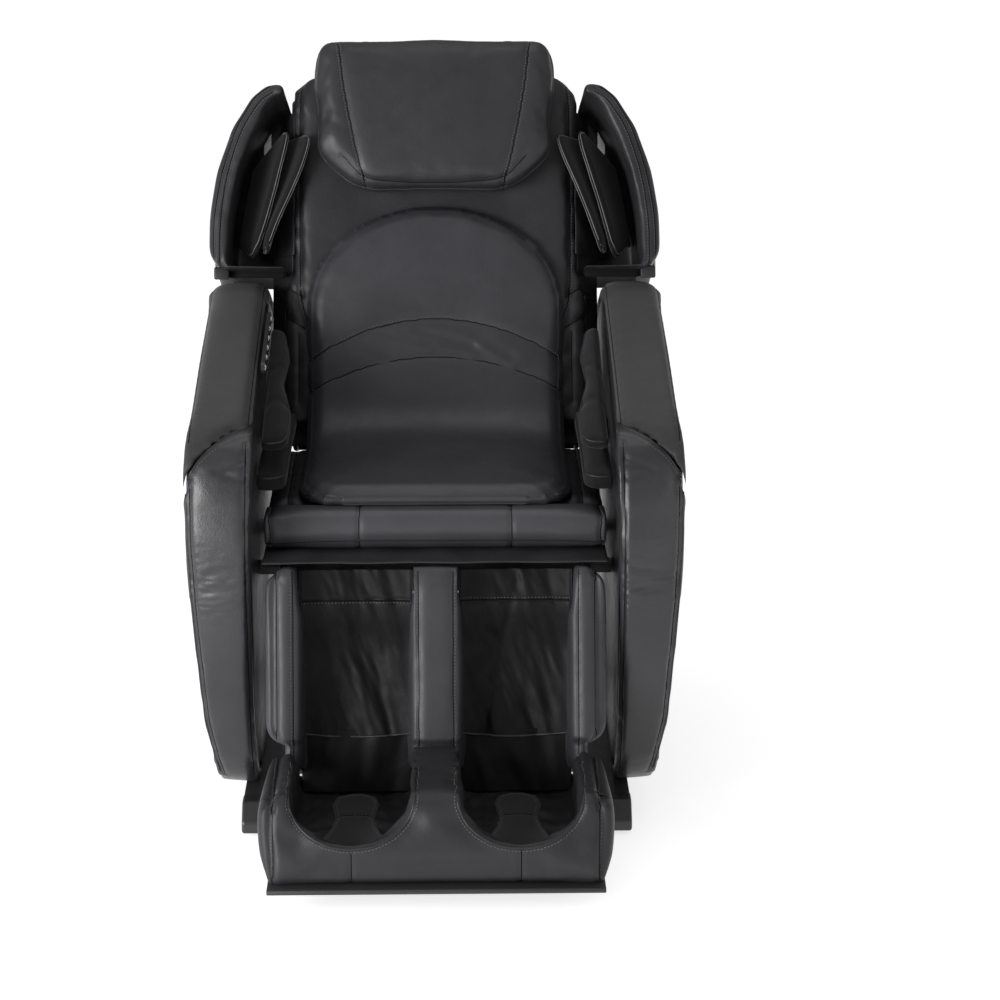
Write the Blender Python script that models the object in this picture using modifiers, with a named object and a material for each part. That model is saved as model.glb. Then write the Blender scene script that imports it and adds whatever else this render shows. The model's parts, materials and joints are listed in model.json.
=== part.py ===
"""Massage chair: reclining back, lifting leg rest and foot box, shoulder pods, arms and base.

Metres, +Z up, the chair faces -Y. "left" is the sitter's left, which is +X.
"""
import math

import bmesh
import bpy
from mathutils import Matrix, Vector

# ---------------------------------------------------------------- driving dimensions
SHIFT_Y = -0.1876           # puts the centre of the whole chair on y = 0
GAP = 0.0003                # clearance between pieces that touch

BACK_PIVOT = (0.420, 0.420)     # recline axis, y and z
BACK_LEAN = 21.0                # back behind the vertical, degrees
LEG_PIVOT = (-0.035, 0.385)     # leg rest axis, y and z
LEG_LEAN = 15.0                 # calf rest ahead of the vertical, degrees

ARM_IN, ARM_OUT = 0.272, 0.376  # inner and outer face of an arm, x
ARM_ARC = 0.320                 # radius of an arm's rear end round the recline axis
ARM_SKIN = 0.024                # thickness of an arm's padding
ARM_TAPER = ((0.370, 0.0040), (0.290, 0.0095), (0.170, 0.0185), (0.090, 0.0340), (0.030, 0.0480))
ARM_REAR = [(0.060, 0.050), (0.400, 0.056), (0.520, 0.080), (0.620, 0.150),
            (0.690, 0.270), (0.722, 0.400), (0.7200, 0.5270)]
SEAM_IN, SEAM_OUT = 0.622, 0.520    # height of the arm seam at the inner and outer face

SEAT_HALF = 0.262               # half width of the seat and its front roll
PAD_HALF = 0.204                # half width of the oval pad
ROLL_LOW, ROLL_TOP = 0.427, 0.483
SEAT_BACK_Y = 0.385
SEAT_PAD_TOP = 0.512

CUSHION_TOP = 0.680             # end of the back cushion along the back
CUSHION_FRONT = 0.060           # face of the back cushion ahead of the recline axis
PAD_FRONT = 0.085
POD_IN, POD_OUT = 0.2412, 0.372
POD_LOW, POD_TOP = 0.335, 0.667
POD_REAR, POD_FRONT = -0.075, 0.120
PILLOW_PIVOT = (0.700, 0.0)     # pillow hinge, along the back and ahead of it

CALF_HALF, CALF_END, CALF_TOP = 0.253, -0.290, 0.030
CHANNEL_IN, CHANNEL_OUT = 0.0365, 0.2035
FOOT_HALF = 0.249
FOOT_FRONT = 0.258
WELL_MID, WELL_HALF = 0.122, 0.087

LEG_DRIVE_X, BACK_DRIVE_X = 0.1030, -0.1005     # planes of the two actuators, x
LEG_DRIVE, BACK_DRIVE = (0.508, 0.146), (0.528, 0.146)      # their lower pivots, y and z

SKID_TOP = 0.045
WHEEL_Y, WHEEL_Z, WHEEL_R = 0.600, 0.032, 0.028

BUTTONS = 6
BUTTON_PITCH = 0.034

BLACK = (0.020, 0.019, 0.021)
DARK = (0.012, 0.011, 0.012)
GREY = (0.045, 0.045, 0.046)
STEEL = (0.30, 0.31, 0.32)
SILVER = (0.62, 0.62, 0.63)

# ---------------------------------------------------------------- scene helpers


def clear_scene():
    for obj in list(bpy.data.objects):
        bpy.data.objects.remove(obj, do_unlink=True)


def collection(name):
    made = bpy.data.collections.new(name)
    bpy.context.scene.collection.children.link(made)
    return made


def paint(obj, colour, roughness, metallic=0.0):
    mat = bpy.data.materials.new(obj.name)
    mat.use_nodes = True
    shader = mat.node_tree.nodes["Principled BSDF"]
    shader.inputs["Base Color"].default_value = (*colour, 1.0)
    shader.inputs["Roughness"].default_value = roughness
    shader.inputs["Metallic"].default_value = metallic
    obj.data.materials.clear()
    obj.data.materials.append(mat)
    return obj


def leather(obj):
    return paint(obj, BLACK, 0.48)


def fabric(obj):
    return paint(obj, DARK, 0.90)


def plastic(obj):
    return paint(obj, GREY, 0.42)


def steel(obj):
    return paint(obj, STEEL, 0.35, 0.9)


def rubber(obj):
    return paint(obj, DARK, 0.80)


# ---------------------------------------------------------------- frames of reference


def lean_frame(pivot, lean=0.0, x=0.0):
    """Local x, up and out (towards the sitter), leaning back by `lean` degrees."""
    s, c = math.sin(math.radians(lean)), math.cos(math.radians(lean))
    return Matrix(((1, 0, 0, x), (0, s, -c, pivot[0] + SHIFT_Y), (0, c, s, pivot[1]), (0, 0, 0, 1)))


def move(x, y, z):
    return Matrix.Translation((x, y, z))


TO_SIDE = Matrix(((0, 0, 1, 0), (1, 0, 0, 0), (0, 1, 0, 0), (0, 0, 0, 1)))
TOP = move(0, SHIFT_Y, 0)
SIDE = TOP @ TO_SIDE                    # local y, z and x of the chair
BACK = lean_frame(BACK_PIVOT, BACK_LEAN)
BACK_SIDE = BACK @ TO_SIDE              # along the back, out of it, and x
LEG = lean_frame(LEG_PIVOT, LEG_LEAN)
LEG_SIDE = LEG @ TO_SIDE
PILLOW = BACK @ move(0, *PILLOW_PIVOT)

# ---------------------------------------------------------------- shapes


def add(name, mesh, frame, target):
    obj = bpy.data.objects.new(name, mesh)
    obj.matrix_world = frame
    target.objects.link(obj)
    return obj


def smooth(obj, angle=35.0):
    obj.data.shade_smooth()
    obj.data.set_sharp_from_angle(angle=math.radians(angle))
    return obj


def bevel(obj, width, segments):
    if width:
        mod = obj.modifiers.new("Bevel", "BEVEL")
        mod.width = width
        mod.segments = segments
        mod.limit_method = "ANGLE"
        mod.angle_limit = math.radians(50)
    return smooth(obj)


def prism(name, outline, low, high, frame, width=0.0, segments=2, holes=(), target=None):
    """A closed outline with optional holes, extruded from `low` to `high` along local z."""
    curve = bpy.data.curves.new(name, "CURVE")
    curve.dimensions = "2D"
    curve.fill_mode = "BOTH"
    curve.extrude = (high - low) / 2
    for loop in (outline, *holes):
        spline = curve.splines.new("POLY")
        spline.points.add(len(loop) - 1)
        for point, (u, v) in zip(spline.points, loop):
            point.co = (u, v, 0, 1)
        spline.use_cyclic_u = True
    source = bpy.data.objects.new(name + "_curve", curve)
    CUTTERS.objects.link(source)
    graph = bpy.context.evaluated_depsgraph_get()
    mesh = bpy.data.meshes.new_from_object(source.evaluated_get(graph))
    bpy.data.objects.remove(source, do_unlink=True)
    body = bmesh.new()
    body.from_mesh(mesh)
    bmesh.ops.remove_doubles(body, verts=body.verts, dist=1e-6)
    bmesh.ops.dissolve_limit(body, angle_limit=0.01, verts=body.verts, edges=body.edges)
    bmesh.ops.translate(body, verts=body.verts, vec=(0, 0, (low + high) / 2))
    bmesh.ops.recalc_face_normals(body, faces=body.faces)
    body.to_mesh(mesh)
    body.free()
    return bevel(add(name, mesh, frame, target or CHAIR), width, segments)


def block(name, low, high, frame, width=0.0, segments=2, target=None):
    """A box between two corners."""
    mesh = bpy.data.meshes.new(name)
    body = bmesh.new()
    bmesh.ops.create_cube(body, size=1.0)
    size = [b - a for a, b in zip(low, high)]
    middle = [(a + b) / 2 for a, b in zip(low, high)]
    bmesh.ops.scale(body, verts=body.verts, vec=size)
    bmesh.ops.translate(body, verts=body.verts, vec=middle)
    body.to_mesh(mesh)
    body.free()
    return bevel(add(name, mesh, frame, target or CHAIR), width, segments)


def lathe(name, profile, frame, steps=24, closed=False, target=None):
    """A profile of (radius, height) turned round local z."""
    mesh = bpy.data.meshes.new(name)
    count = len(profile)
    edges = [(i, (i + 1) % count) for i in range(count if closed else count - 1)]
    mesh.from_pydata([(r, 0, h) for r, h in profile], edges, [])
    obj = add(name, mesh, frame, target or CHAIR)
    mod = obj.modifiers.new("Screw", "SCREW")
    mod.steps = steps
    mod.render_steps = steps
    mod.merge_threshold = 0.00001
    mod.use_merge_vertices = True
    mod.use_smooth_shade = True
    return obj


def rod(name, radius, low, high, frame, steps=24, target=None):
    profile = [(0, high), (radius, high), (radius, low), (0, low)]
    return lathe(name, profile, frame, steps, target=target)


def combine(obj, operation, *others):
    """Booleans with helper bodies, which stay out of the chair's own collection."""
    for other in others:
        other.hide_render = True
        other.display_type = "WIRE"
        mod = obj.modifiers.new(operation.title(), "BOOLEAN")
        mod.operation = operation
        mod.solver = "EXACT"
        mod.object = other
    return obj


# ---------------------------------------------------------------- outlines


def rounded(corners, steps=4):
    """Closed outline from (u, v, radius) corners."""
    out = []
    count = len(corners)
    for i, (u, v, radius) in enumerate(corners):
        if not radius:
            out.append((u, v))
            continue
        p = Vector((u, v))
        a = (Vector(corners[i - 1][:2]) - p).normalized()
        b = (Vector(corners[(i + 1) % count][:2]) - p).normalized()
        half = a.angle(b) / 2
        centre = p + (a + b).normalized() * (radius / math.sin(half))
        start = p + a * (radius / math.tan(half)) - centre
        end = p + b * (radius / math.tan(half)) - centre
        first = math.atan2(start.y, start.x)
        turn = (math.atan2(end.y, end.x) - first + math.pi) % (2 * math.pi) - math.pi
        for k in range(steps + 1):
            angle = first + turn * k / steps
            out.append((centre.x + radius * math.cos(angle), centre.y + radius * math.sin(angle)))
    return out


def rectangle(u0, v0, u1, v1, radius=0.0, steps=4):
    return rounded([(u0, v0, radius), (u1, v0, radius), (u1, v1, radius), (u0, v1, radius)], steps)


def circle(u, v, radius, steps=24):
    turns = [2 * math.pi * k / steps for k in range(steps)]
    return [(u + radius * math.cos(t), v + radius * math.sin(t)) for t in turns]


def arc(u, v, radius_u, radius_v, start, end, steps):
    """Points on an ellipse between two angles in degrees."""
    turns = [math.radians(start + (end - start) * k / steps) for k in range(steps + 1)]
    return [(u + radius_u * math.cos(t), v + radius_v * math.sin(t)) for t in turns]


def inset(chain, depth):
    """Open chain moved to its left by `depth`."""
    out = []
    last = len(chain) - 1
    for i, point in enumerate(chain):
        a = Vector(chain[max(i - 1, 0)])
        b = Vector(chain[min(i + 1, last)])
        along = (b - a).normalized()
        out.append((point[0] - along.y * depth, point[1] + along.x * depth))
    return out


def mirror_x(outline):
    return [(-u, v) for u, v in reversed(outline)]


# ---------------------------------------------------------------- base and seat frame


def make_base():
    base = block("base_frame", (-0.235, 0.10, 0.020), (0.235, 0.14, SKID_TOP), TOP)
    parts = [block("rear_bar", (-0.24, 0.50, 0.020), (0.24, 0.54, SKID_TOP), TOP, target=CUTTERS)]
    for side in (-1, 1):
        inner, outer = sorted((0.234 * side, 0.298 * side))
        parts.append(block("skid", (inner, -0.05, 0.020), (outer, 0.56, SKID_TOP), TOP, target=CUTTERS))
        post_in, post_out = sorted((0.220 * side, 0.244 * side))
        for low, high in ((0.055, 0.105), (0.355, 0.415)):
            corner = (post_out, high, 0.330 - GAP)
            parts.append(block("post", (post_in, low, 0.030), corner, TOP, target=CUTTERS))
        lug_in, lug_out = sorted((0.240 * side, 0.250 * side))
        outline = rounded([(0.52, 0.024, 0), (0.60, 0.024, 0.007), (0.608, 0.040, 0.006), (0.52, 0.043, 0)])
        parts.append(prism("lug", outline, lug_in, lug_out, SIDE, target=CUTTERS))
        axle_in, axle_out = sorted((0.245 * side, 0.284 * side))
        axle = SIDE @ move(WHEEL_Y, WHEEL_Z, 0)
        parts.append(rod("axle", 0.0050, axle_in, axle_out, axle, 16, target=CUTTERS))
    for x, (y, z) in ((LEG_DRIVE_X, LEG_DRIVE), (BACK_DRIVE_X, BACK_DRIVE)):
        ear = rectangle(y - 0.012, 0.030, y + 0.012, z + 0.012, 0.010)
        hole = circle(y, z, 0.0064, 20)
        for at in (-0.021, 0.013):
            parts.append(prism("ear", ear, x + at, x + at + 0.008, SIDE, holes=(hole,), target=CUTTERS))
    steel(combine(base, "UNION", *parts))
    for side, word in ((-1, "right"), (1, "left")):
        outline = rounded([(-0.050 - GAP, 0.006, 0), (-0.050 - GAP, 0.050, 0),
                           (-0.078, 0.050, 0.012), (-0.104, 0.024, 0.010), (-0.104, 0.006, 0.004)])
        low, high = sorted((0.2525 * side, 0.299 * side))
        plastic(prism("base_cover_" + word, outline, low, high, SIDE, 0.004))
        low, high = sorted((0.244 * side, 0.290 * side))
        strip = block("rubber_foot_" + word, (low, -0.045, 0.0), (high, 0.540, 0.020 - GAP), TOP, 0.004)
        rubber(strip)
        low, high = sorted((0.2535 * side, 0.2815 * side))
        tyre = [(0.0053, high), (0.024, high), (WHEEL_R, high - 0.005),
                (WHEEL_R, low + 0.005), (0.024, low), (0.0053, low)]
        rubber(lathe("wheel_" + word, tyre, SIDE @ move(WHEEL_Y, WHEEL_Z, 0), closed=True))


def make_seat_frame():
    plate = rounded([(-0.047, 0.373, 0.0115), (-0.047, 0.397, 0.0115), (0.002, 0.397, 0),
                     (0.016, 0.400, 0), (0.385, 0.400, 0),
                     (0.395, 0.445, 0.012), (0.445, 0.445, 0.020), (0.448, 0.395, 0.020),
                     (0.420, 0.330, 0.010), (0.050, 0.330, 0.010), (0.016, 0.373, 0.010)], 3)
    holes = (circle(*LEG_PIVOT, 0.0083), circle(*BACK_PIVOT, 0.0103))
    frame = prism("seat_frame", plate, 0.2265, 0.2375, SIDE, holes=holes)
    parts = [prism("plate", plate, -0.2375, -0.2265, SIDE, holes=holes, target=CUTTERS)]
    parts.append(block("pan", (-0.230, 0.060, 0.392), (0.230, 0.326, 0.400), TOP, target=CUTTERS))
    parts.append(block("front_bar", (-0.230, 0.050, 0.345), (0.230, 0.075, 0.396), TOP, target=CUTTERS))
    for side in (-1, 1):
        low, high = sorted((0.232 * side, (ARM_IN + 0.004 - GAP) * side))
        for y in (0.12, 0.33):
            parts.append(block("arm_bracket", (low, y, 0.350), (high, y + 0.04, 0.362), TOP, target=CUTTERS))
    steel(combine(frame, "UNION", *parts))


def make_electrics():
    plastic(block("power_box", (-0.060, 0.503, SKID_TOP + GAP), (0.070, 0.585, 0.150), TOP, 0.006))
    case = bpy.data.objects["power_box"]
    recess = block("inlet_recess", (-0.042, 0.560, 0.080), (-0.010, 0.600, 0.106), TOP, target=CUTTERS)
    slot = block("switch_recess", (0.020, 0.560, 0.080), (0.046, 0.600, 0.106), TOP, target=CUTTERS)
    combine(case, "DIFFERENCE", recess, slot)
    socket = block("power_inlet", (-0.0417, 0.5603, 0.0803), (-0.0103, 0.5865, 0.1057), TOP, 0.001, 1)
    cavity = prism("inlet_cavity", rounded([(-0.037, 0.085, 0), (-0.015, 0.085, 0), (-0.015, 0.096, 0),
                                            (-0.019, 0.101, 0), (-0.033, 0.101, 0), (-0.037, 0.096, 0)]),
                   -0.590, -0.572, move(0, SHIFT_Y, 0) @ Matrix.Rotation(math.radians(90), 4, "X"),
                   target=CUTTERS)
    plastic(combine(socket, "DIFFERENCE", cavity))
    rocker = rounded([(-0.012, 0.004, 0.001), (-0.012, -0.006, 0), (0.012, -0.006, 0), (0.012, 0.0015, 0.001),
                      (0.0, 0.0005, 0)], 2)
    plastic(prism("power_switch", rocker, -0.0095, 0.0095, SWITCH))


SWITCH = TOP @ move(0.033, 0.5835, 0.093) @ Matrix(((0, 0, 1, 0), (0, 1, 0, 0), (-1, 0, 0, 0), (0, 0, 0, 1)))

# ---------------------------------------------------------------- seat and arms


def seat_plan(half, front, rear, front_radius):
    return rounded([(-half, front, front_radius), (half, front, front_radius),
                    (half, rear, 0.02), (-half, rear, 0.02)], 6)


def make_seat():
    profile = rounded([(0.070 + GAP, 0.4003, 0), (0.340, 0.4003, 0), (SEAT_BACK_Y, 0.4250, 0.006),
                       (SEAT_BACK_Y, ROLL_TOP - GAP, 0.010), (0.070 + GAP, ROLL_TOP - GAP, 0.004)])
    leather(prism("seat_cushion", profile, -SEAT_HALF, SEAT_HALF, SIDE, 0.010))
    roll = rounded([(0.002, ROLL_LOW, 0.010), (0.070, ROLL_LOW, 0.004),
                    (0.070, ROLL_TOP, 0.006), (0.002, ROLL_TOP, 0.020)])
    leather(prism("seat_front_roll", roll, -SEAT_HALF, SEAT_HALF, SIDE, 0.008))
    plan = seat_plan(PAD_HALF, 0.042, 0.372, 0.060)
    leather(prism("seat_pad", plan, ROLL_TOP + GAP, SEAT_PAD_TOP, TOP, 0.012, 3))


def arm_chain():
    """Side outline of an arm from its rear end over the top and down the front to the tip."""
    y, z = BACK_PIVOT
    turns = [math.radians(70 - 62 * k / 8) for k in range(9)]
    rear = [(y + ARM_ARC * math.sin(t), z + ARM_ARC * math.cos(t)) for t in turns]
    front = [(0.340, 0.711), (0.180, 0.674), (0.040, 0.638), (-0.005, 0.624), (-0.040, 0.606),
             (-0.063, 0.578), (-0.078, 0.540), (-0.087, 0.470), (-0.089, 0.380), (-0.084, 0.280),
             (-0.073, 0.180), (-0.057, 0.110), (-0.038, 0.072), (-0.012, 0.053), (0.028, 0.047)]
    return rear + front


def seam_cutter(side, drop):
    """Everything below the curved seam at the front of an arm, lowered by `drop`."""
    reach = ARM_OUT - ARM_IN
    seam = []
    for k in range(9):
        t = k / 8
        seam.append((ARM_IN + reach * t, SEAM_IN - (SEAM_IN - SEAM_OUT) * (1 - math.sqrt(1 - t * t)) - drop))
    outline = [(ARM_IN - 0.02, seam[0][1])] + seam + [(ARM_OUT + 0.02, SEAM_OUT - drop - 0.02),
                                                      (ARM_OUT + 0.02, 0.0), (ARM_IN - 0.02, 0.0)]
    if side < 0:
        outline = mirror_x(outline)
    front = TOP @ Matrix.Rotation(math.radians(90), 4, "X")
    return prism("below_seam", outline, -0.15, 0.20, front, target=CUTTERS)


def taper_cutter(side, inside):
    """Everything beyond the outer side of an arm, which narrows towards the floor."""
    edge = [(ARM_OUT + 0.001 - inside, 0.460)] + [(ARM_OUT - d - inside, z) for z, d in ARM_TAPER]
    outline = [(ARM_OUT + 0.03, 0.460), (ARM_OUT + 0.03, 0.0), (edge[-1][0], 0.0)] + list(reversed(edge))
    if side < 0:
        outline = mirror_x(outline)
    front = TOP @ Matrix.Rotation(math.radians(90), 4, "X")
    return prism("beyond_taper", outline, -0.80, 0.20, front, target=CUTTERS)


def make_arm(side, word):
    chain = arm_chain()
    low, high = sorted((ARM_IN * side, ARM_OUT * side))
    strip = chain + list(reversed(inset(chain, ARM_SKIN)))
    top = prism("arm_pad_" + word, strip, low, high, SIDE, 0.009)
    leather(combine(top, "DIFFERENCE", seam_cutter(side, 0.0)))
    front = prism("arm_front_pad_" + word, strip, low, high, SIDE, 0.009)
    combine(front, "INTERSECT", seam_cutter(side, 0.0004))
    leather(combine(front, "DIFFERENCE", taper_cutter(side, 0.0)))
    make_arm_shell(side, word, chain)


def make_arm_shell(side, word, chain):
    """Moulded body of an arm, hollow and open underneath."""
    core = inset(chain, ARM_SKIN + 0.0005)
    low, high = sorted(((ARM_IN + 0.004) * side, (ARM_OUT - 0.004) * side))
    shell = prism("arm_shell_" + word, core + ARM_REAR, low, high, SIDE, 0.003, 1)
    wall_low, wall_high = sorted(((ARM_IN + 0.010) * side, (ARM_OUT - 0.010) * side))
    hollow = [(0.075, 0.020), (0.380, 0.020), (0.395, 0.064), (0.515, 0.088), (0.612, 0.156),
              (0.680, 0.272), (0.712, 0.400), (0.708, 0.520)]
    hollow += inset(chain, ARM_SKIN + 0.009)[2:-2]
    cavity = prism("hollow", hollow, wall_low, wall_high, SIDE, target=CUTTERS)
    combine(cavity, "DIFFERENCE", taper_cutter(side, 0.010))
    plastic(combine(shell, "DIFFERENCE", taper_cutter(side, 0.004), cavity))


def arm_frame(side, x, y, z, slope):
    """Local x towards the middle of the chair, y up and back along the arm, z out of its top."""
    tilt = Matrix.Rotation(math.radians(slope), 4, "X")
    return TOP @ move(x * side, y, z) @ tilt


def make_forearm(side, word):
    frame = arm_frame(side, 0.2645, 0.195, 0.630, 17.0)
    edge = [(0.0, -0.165, 0.004), (-0.040, -0.165, 0.022), (-0.043, -0.080, 0.05), (-0.030, 0.010, 0.05),
            (-0.034, 0.090, 0.05), (-0.022, 0.170, 0.02), (0.0, 0.180, 0.004)]
    outline = rounded(edge, 3)
    if side < 0:
        outline = mirror_x(outline)
    fabric(prism("forearm_flap_" + word, outline, -0.010, 0.010, frame, 0.006))
    frame = arm_frame(side, 0.2715, 0.170, 0.540, 4.0)
    outline = rounded([(0.0, -0.155, 0.004), (-0.045, -0.155, 0.022),
                       (-0.048, 0.150, 0.022), (0.0, 0.150, 0.004)], 3)
    if side < 0:
        outline = mirror_x(outline)
    fabric(prism("forearm_pad_" + word, outline, -0.014, 0.014, frame, 0.008))


def strip_frame():
    return TOP @ move(-0.2655, 0.280, 0.6835) @ Matrix.Rotation(math.radians(13), 4, "X") @ TO_SIDE


def make_controls():
    half = BUTTON_PITCH * (BUTTONS - 1) / 2
    spots = [-half + BUTTON_PITCH * i for i in range(BUTTONS)]
    frame = strip_frame()
    outline = rectangle(-half - 0.012, -0.011, half + 0.012, 0.011, 0.009, 3)
    holes = [circle(at, 0, 0.0066, 16) for at in spots]
    plastic(prism("control_strip", outline, -0.0060, 0.0, frame, holes=holes))
    for i, at in enumerate(spots):
        spot = frame @ move(at, 0, 0)
        cap = [(0, 0.0022), (0.0050, 0.0022), (0.0062, 0.0010), (0.0062, -0.0040), (0, -0.0040)]
        paint(lathe("button_%d" % (i + 1), cap, spot, 16), SILVER, 0.30, 0.8)


# ---------------------------------------------------------------- back


def make_back_frame():
    frame = rod("back_frame", 0.0100, -0.2400, 0.2400, BACK_SIDE)
    parts = []
    for side in (-1, 1):
        low, high = sorted((0.175 * side, 0.195 * side))
        parts.append(block("rail", (low, -0.012, -0.082), (high, 0.625, -0.050), BACK, target=CUTTERS))
        parts.append(block("rail_foot", (low, -0.014, -0.060), (high, 0.014, 0.010), BACK, target=CUTTERS))
    parts.append(block("head_bar", (-0.190, 0.598, -0.080), (0.190, 0.622, -0.055), BACK, target=CUTTERS))
    parts.append(block("foot_bar", (-0.190, 0.020, -0.080), (0.190, 0.040, -0.055), BACK, target=CUTTERS))
    lever = rectangle(-0.115, -0.013, 0.012, 0.013, 0.010, 3)
    for at in (-0.1140, -0.0930):
        parts.append(prism("lever", lever, at, at + 0.006, BACK_SIDE, target=CUTTERS))
    steel(combine(frame, "UNION", *parts))


def make_back_shell():
    outer = [(0.045, -0.020), (0.052, -0.085), (0.085, -0.115), (0.160, -0.132), (0.320, -0.146),
             (0.500, -0.148), (0.620, -0.132), (0.675, -0.092), (0.692, -0.040), (0.688, -0.006)]
    body = prism("back_shell", outer + [(0.650, -0.004), (0.060, -0.012)], -0.240, 0.240, BACK_SIDE, 0.006)
    hollow = [(-0.060, 0.050), (-0.060, -0.086), (0.064, -0.086), (0.090, -0.106), (0.160, -0.123),
              (0.320, -0.137), (0.500, -0.139), (0.614, -0.124), (0.666, -0.087), (0.682, -0.040), (0.680, 0.050)]
    plastic(combine(body, "DIFFERENCE", prism("hollow", hollow, -0.233, 0.233, BACK_SIDE, target=CUTTERS)))


def make_back_soft():
    half = 0.238
    outline = rounded([(-0.252, 0.075, 0.02), (0.252, 0.075, 0.02), (0.252, 0.300, 0.03), (half, 0.340, 0.03),
                       (half, CUSHION_TOP, 0.05), (-half, CUSHION_TOP, 0.05), (-half, 0.340, 0.03),
                       (-0.252, 0.300, 0.03)])
    leather(prism("back_cushion", outline, 0.0, CUSHION_FRONT, BACK, 0.014, 3))
    sides = [(-PAD_HALF, 0.105), (PAD_HALF, 0.105)]
    arch = arc(0, 0.270, PAD_HALF, 0.172, 0, 180, 16)
    outline = rounded([(*sides[0], 0.02), (*sides[1], 0.02)] + [(u, v, 0) for u, v in arch], 3)
    leather(prism("back_pad", outline, CUSHION_FRONT + GAP, PAD_FRONT, BACK, 0.010, 3))


def pod_outline(grow, low, high):
    return [(POD_IN, low), (POD_OUT - 0.002 - grow, low), (0.366 - grow, 0.420), (0.352 - grow, 0.505),
            (0.328 - grow, 0.587 - grow * 0.5), (0.298 - grow * 0.7, 0.640 - grow * 0.8),
            (0.272 - grow * 0.4, high), (POD_IN, high + 0.002)]


def make_pod(side, word):
    outline = pod_outline(0.0, POD_LOW, POD_TOP - 0.006)
    hollow = [(POD_IN - 0.03, POD_LOW + 0.022)] + pod_outline(0.026, POD_LOW + 0.022, POD_TOP - 0.030)[1:]
    hollow[-1] = (POD_IN - 0.03, POD_TOP - 0.030)
    if side < 0:
        outline, hollow = mirror_x(outline), mirror_x(hollow)
    pod = prism("shoulder_pod_" + word, outline, POD_REAR, POD_FRONT, BACK, 0.010)
    leather(combine(pod, "DIFFERENCE", prism("pod_hollow", hollow, -0.035, 0.200, BACK, target=CUTTERS)))
    outline = rectangle(0.276, 0.545, 0.288, 0.600, 0.005, 3)
    if side < 0:
        outline = mirror_x(outline)
    trim = prism("shoulder_trim_" + word, outline, -0.035 + GAP, -0.025, BACK)
    paint(trim, SILVER, 0.30, 0.8)


def flap_frame(side, top, low):
    """Frame on a flap's hinge: local x along the hinge, y out over the shoulder."""
    a = Vector((low[0] * side, low[1], -0.018))
    b = Vector((top[0] * side, top[1], -0.018))
    along = (b - a).normalized()
    lean = Vector((-0.30 * side, 0, 1))
    out = (lean - along * lean.dot(along)).normalized()
    face = along.cross(out)
    middle = (a + b) / 2
    rows = [(along[i], out[i], face[i], middle[i]) for i in range(3)]
    return BACK @ Matrix((*rows, (0, 0, 0, 1)))


FLAPS = {"inner": ((0.268, 0.592), (0.297, 0.392)), "outer": ((0.297, 0.552), (0.328, 0.385))}


def make_flaps(side, word):
    for place, (top, low) in FLAPS.items():
        frame = flap_frame(side, top, low)
        half = (Vector(top) - Vector(low)).length / 2
        depth = 0.128 if place == "inner" else 0.118
        outline = rounded([(-half, 0, 0), (half, 0, 0), (half - 0.004, depth, 0.022),
                           (-half + 0.010, depth - 0.016, 0.022)])
        fabric(prism("shoulder_flap_" + place + "_" + word, outline, -0.005, 0.005, frame, 0.003))


def make_pillow():
    outline = rounded([(-0.190, 0.007, 0.032), (0, 0.015, 0), (0.190, 0.007, 0.032), (0.198, -0.065, 0.05),
                       (0.180, -0.165, 0.05), (0.118, -0.236, 0.045), (-0.118, -0.236, 0.045),
                       (-0.180, -0.165, 0.05), (-0.198, -0.065, 0.05)], 3)
    leather(prism("head_pillow", outline, 0.064, 0.128, PILLOW, 0.016, 3))


# ---------------------------------------------------------------- massage mechanism


def make_mechanism():
    body = block("massage_carriage", (-0.1745, 0.295, -0.094), (0.1745, 0.335, -0.066), BACK, 0.003, 1)
    parts = [block("deck", (-0.165, 0.300, -0.100), (0.165, 0.410, -0.088), BACK, target=CUTTERS)]
    parts.append(block("upper_bar", (-0.1745, 0.375, -0.094), (0.1745, 0.410, -0.066), BACK, target=CUTTERS))
    parts.append(rod("carriage_axle", 0.0060, -0.120, 0.120, BACK_SIDE @ move(0.355, -0.050, 0), 20,
                     target=CUTTERS))
    for at in (-0.124, -0.004, 0.116):
        ear = rectangle(0.345, -0.095, 0.365, -0.040, 0.004, 2)
        parts.append(prism("ear", ear, at, at + 0.008, BACK_SIDE, target=CUTTERS))
    parts.append(rod("motor", 0.0150, 0.014, 0.108, BACK_SIDE @ move(0.355, -0.080, 0), 20, target=CUTTERS))
    steel(combine(body, "UNION", *parts))
    for side, word in ((-1, "right"), (1, "left")):
        hub = BACK_SIDE @ move(0.355, -0.050, 0.062 * side)
        outline = rounded([(-0.052, 0.006, 0.007), (-0.052, 0.020, 0.007), (0.052, 0.020, 0.007),
                           (0.052, 0.006, 0.007), (0.012, -0.010, 0.006), (-0.012, -0.010, 0.006)], 2)
        arm = prism("massage_arm_" + word, outline, -0.004, 0.004, hub, holes=(circle(0, 0, 0.0063, 20),))
        pins = [rod("pin", 0.0040, -0.024, 0.024, hub @ move(at, 0.014, 0), 16, CUTTERS)
                for at in (-0.044, 0.044)]
        steel(combine(arm, "UNION", *pins))
        for at, place in ((-0.044, "lower"), (0.044, "upper")):
            spot = hub @ move(at, 0.014, 0)
            profile = [(0.0043, 0.023), (0.015, 0.023), (0.019, 0.019), (0.019, 0.009), (0.015, 0.005),
                       (0.0043, 0.005)]
            if side < 0:
                profile = [(r, -h) for r, h in reversed(profile)]
            rubber(lathe("massage_roller_" + place + "_" + word, profile, spot, 20, closed=True))


# ---------------------------------------------------------------- leg rest


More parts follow.
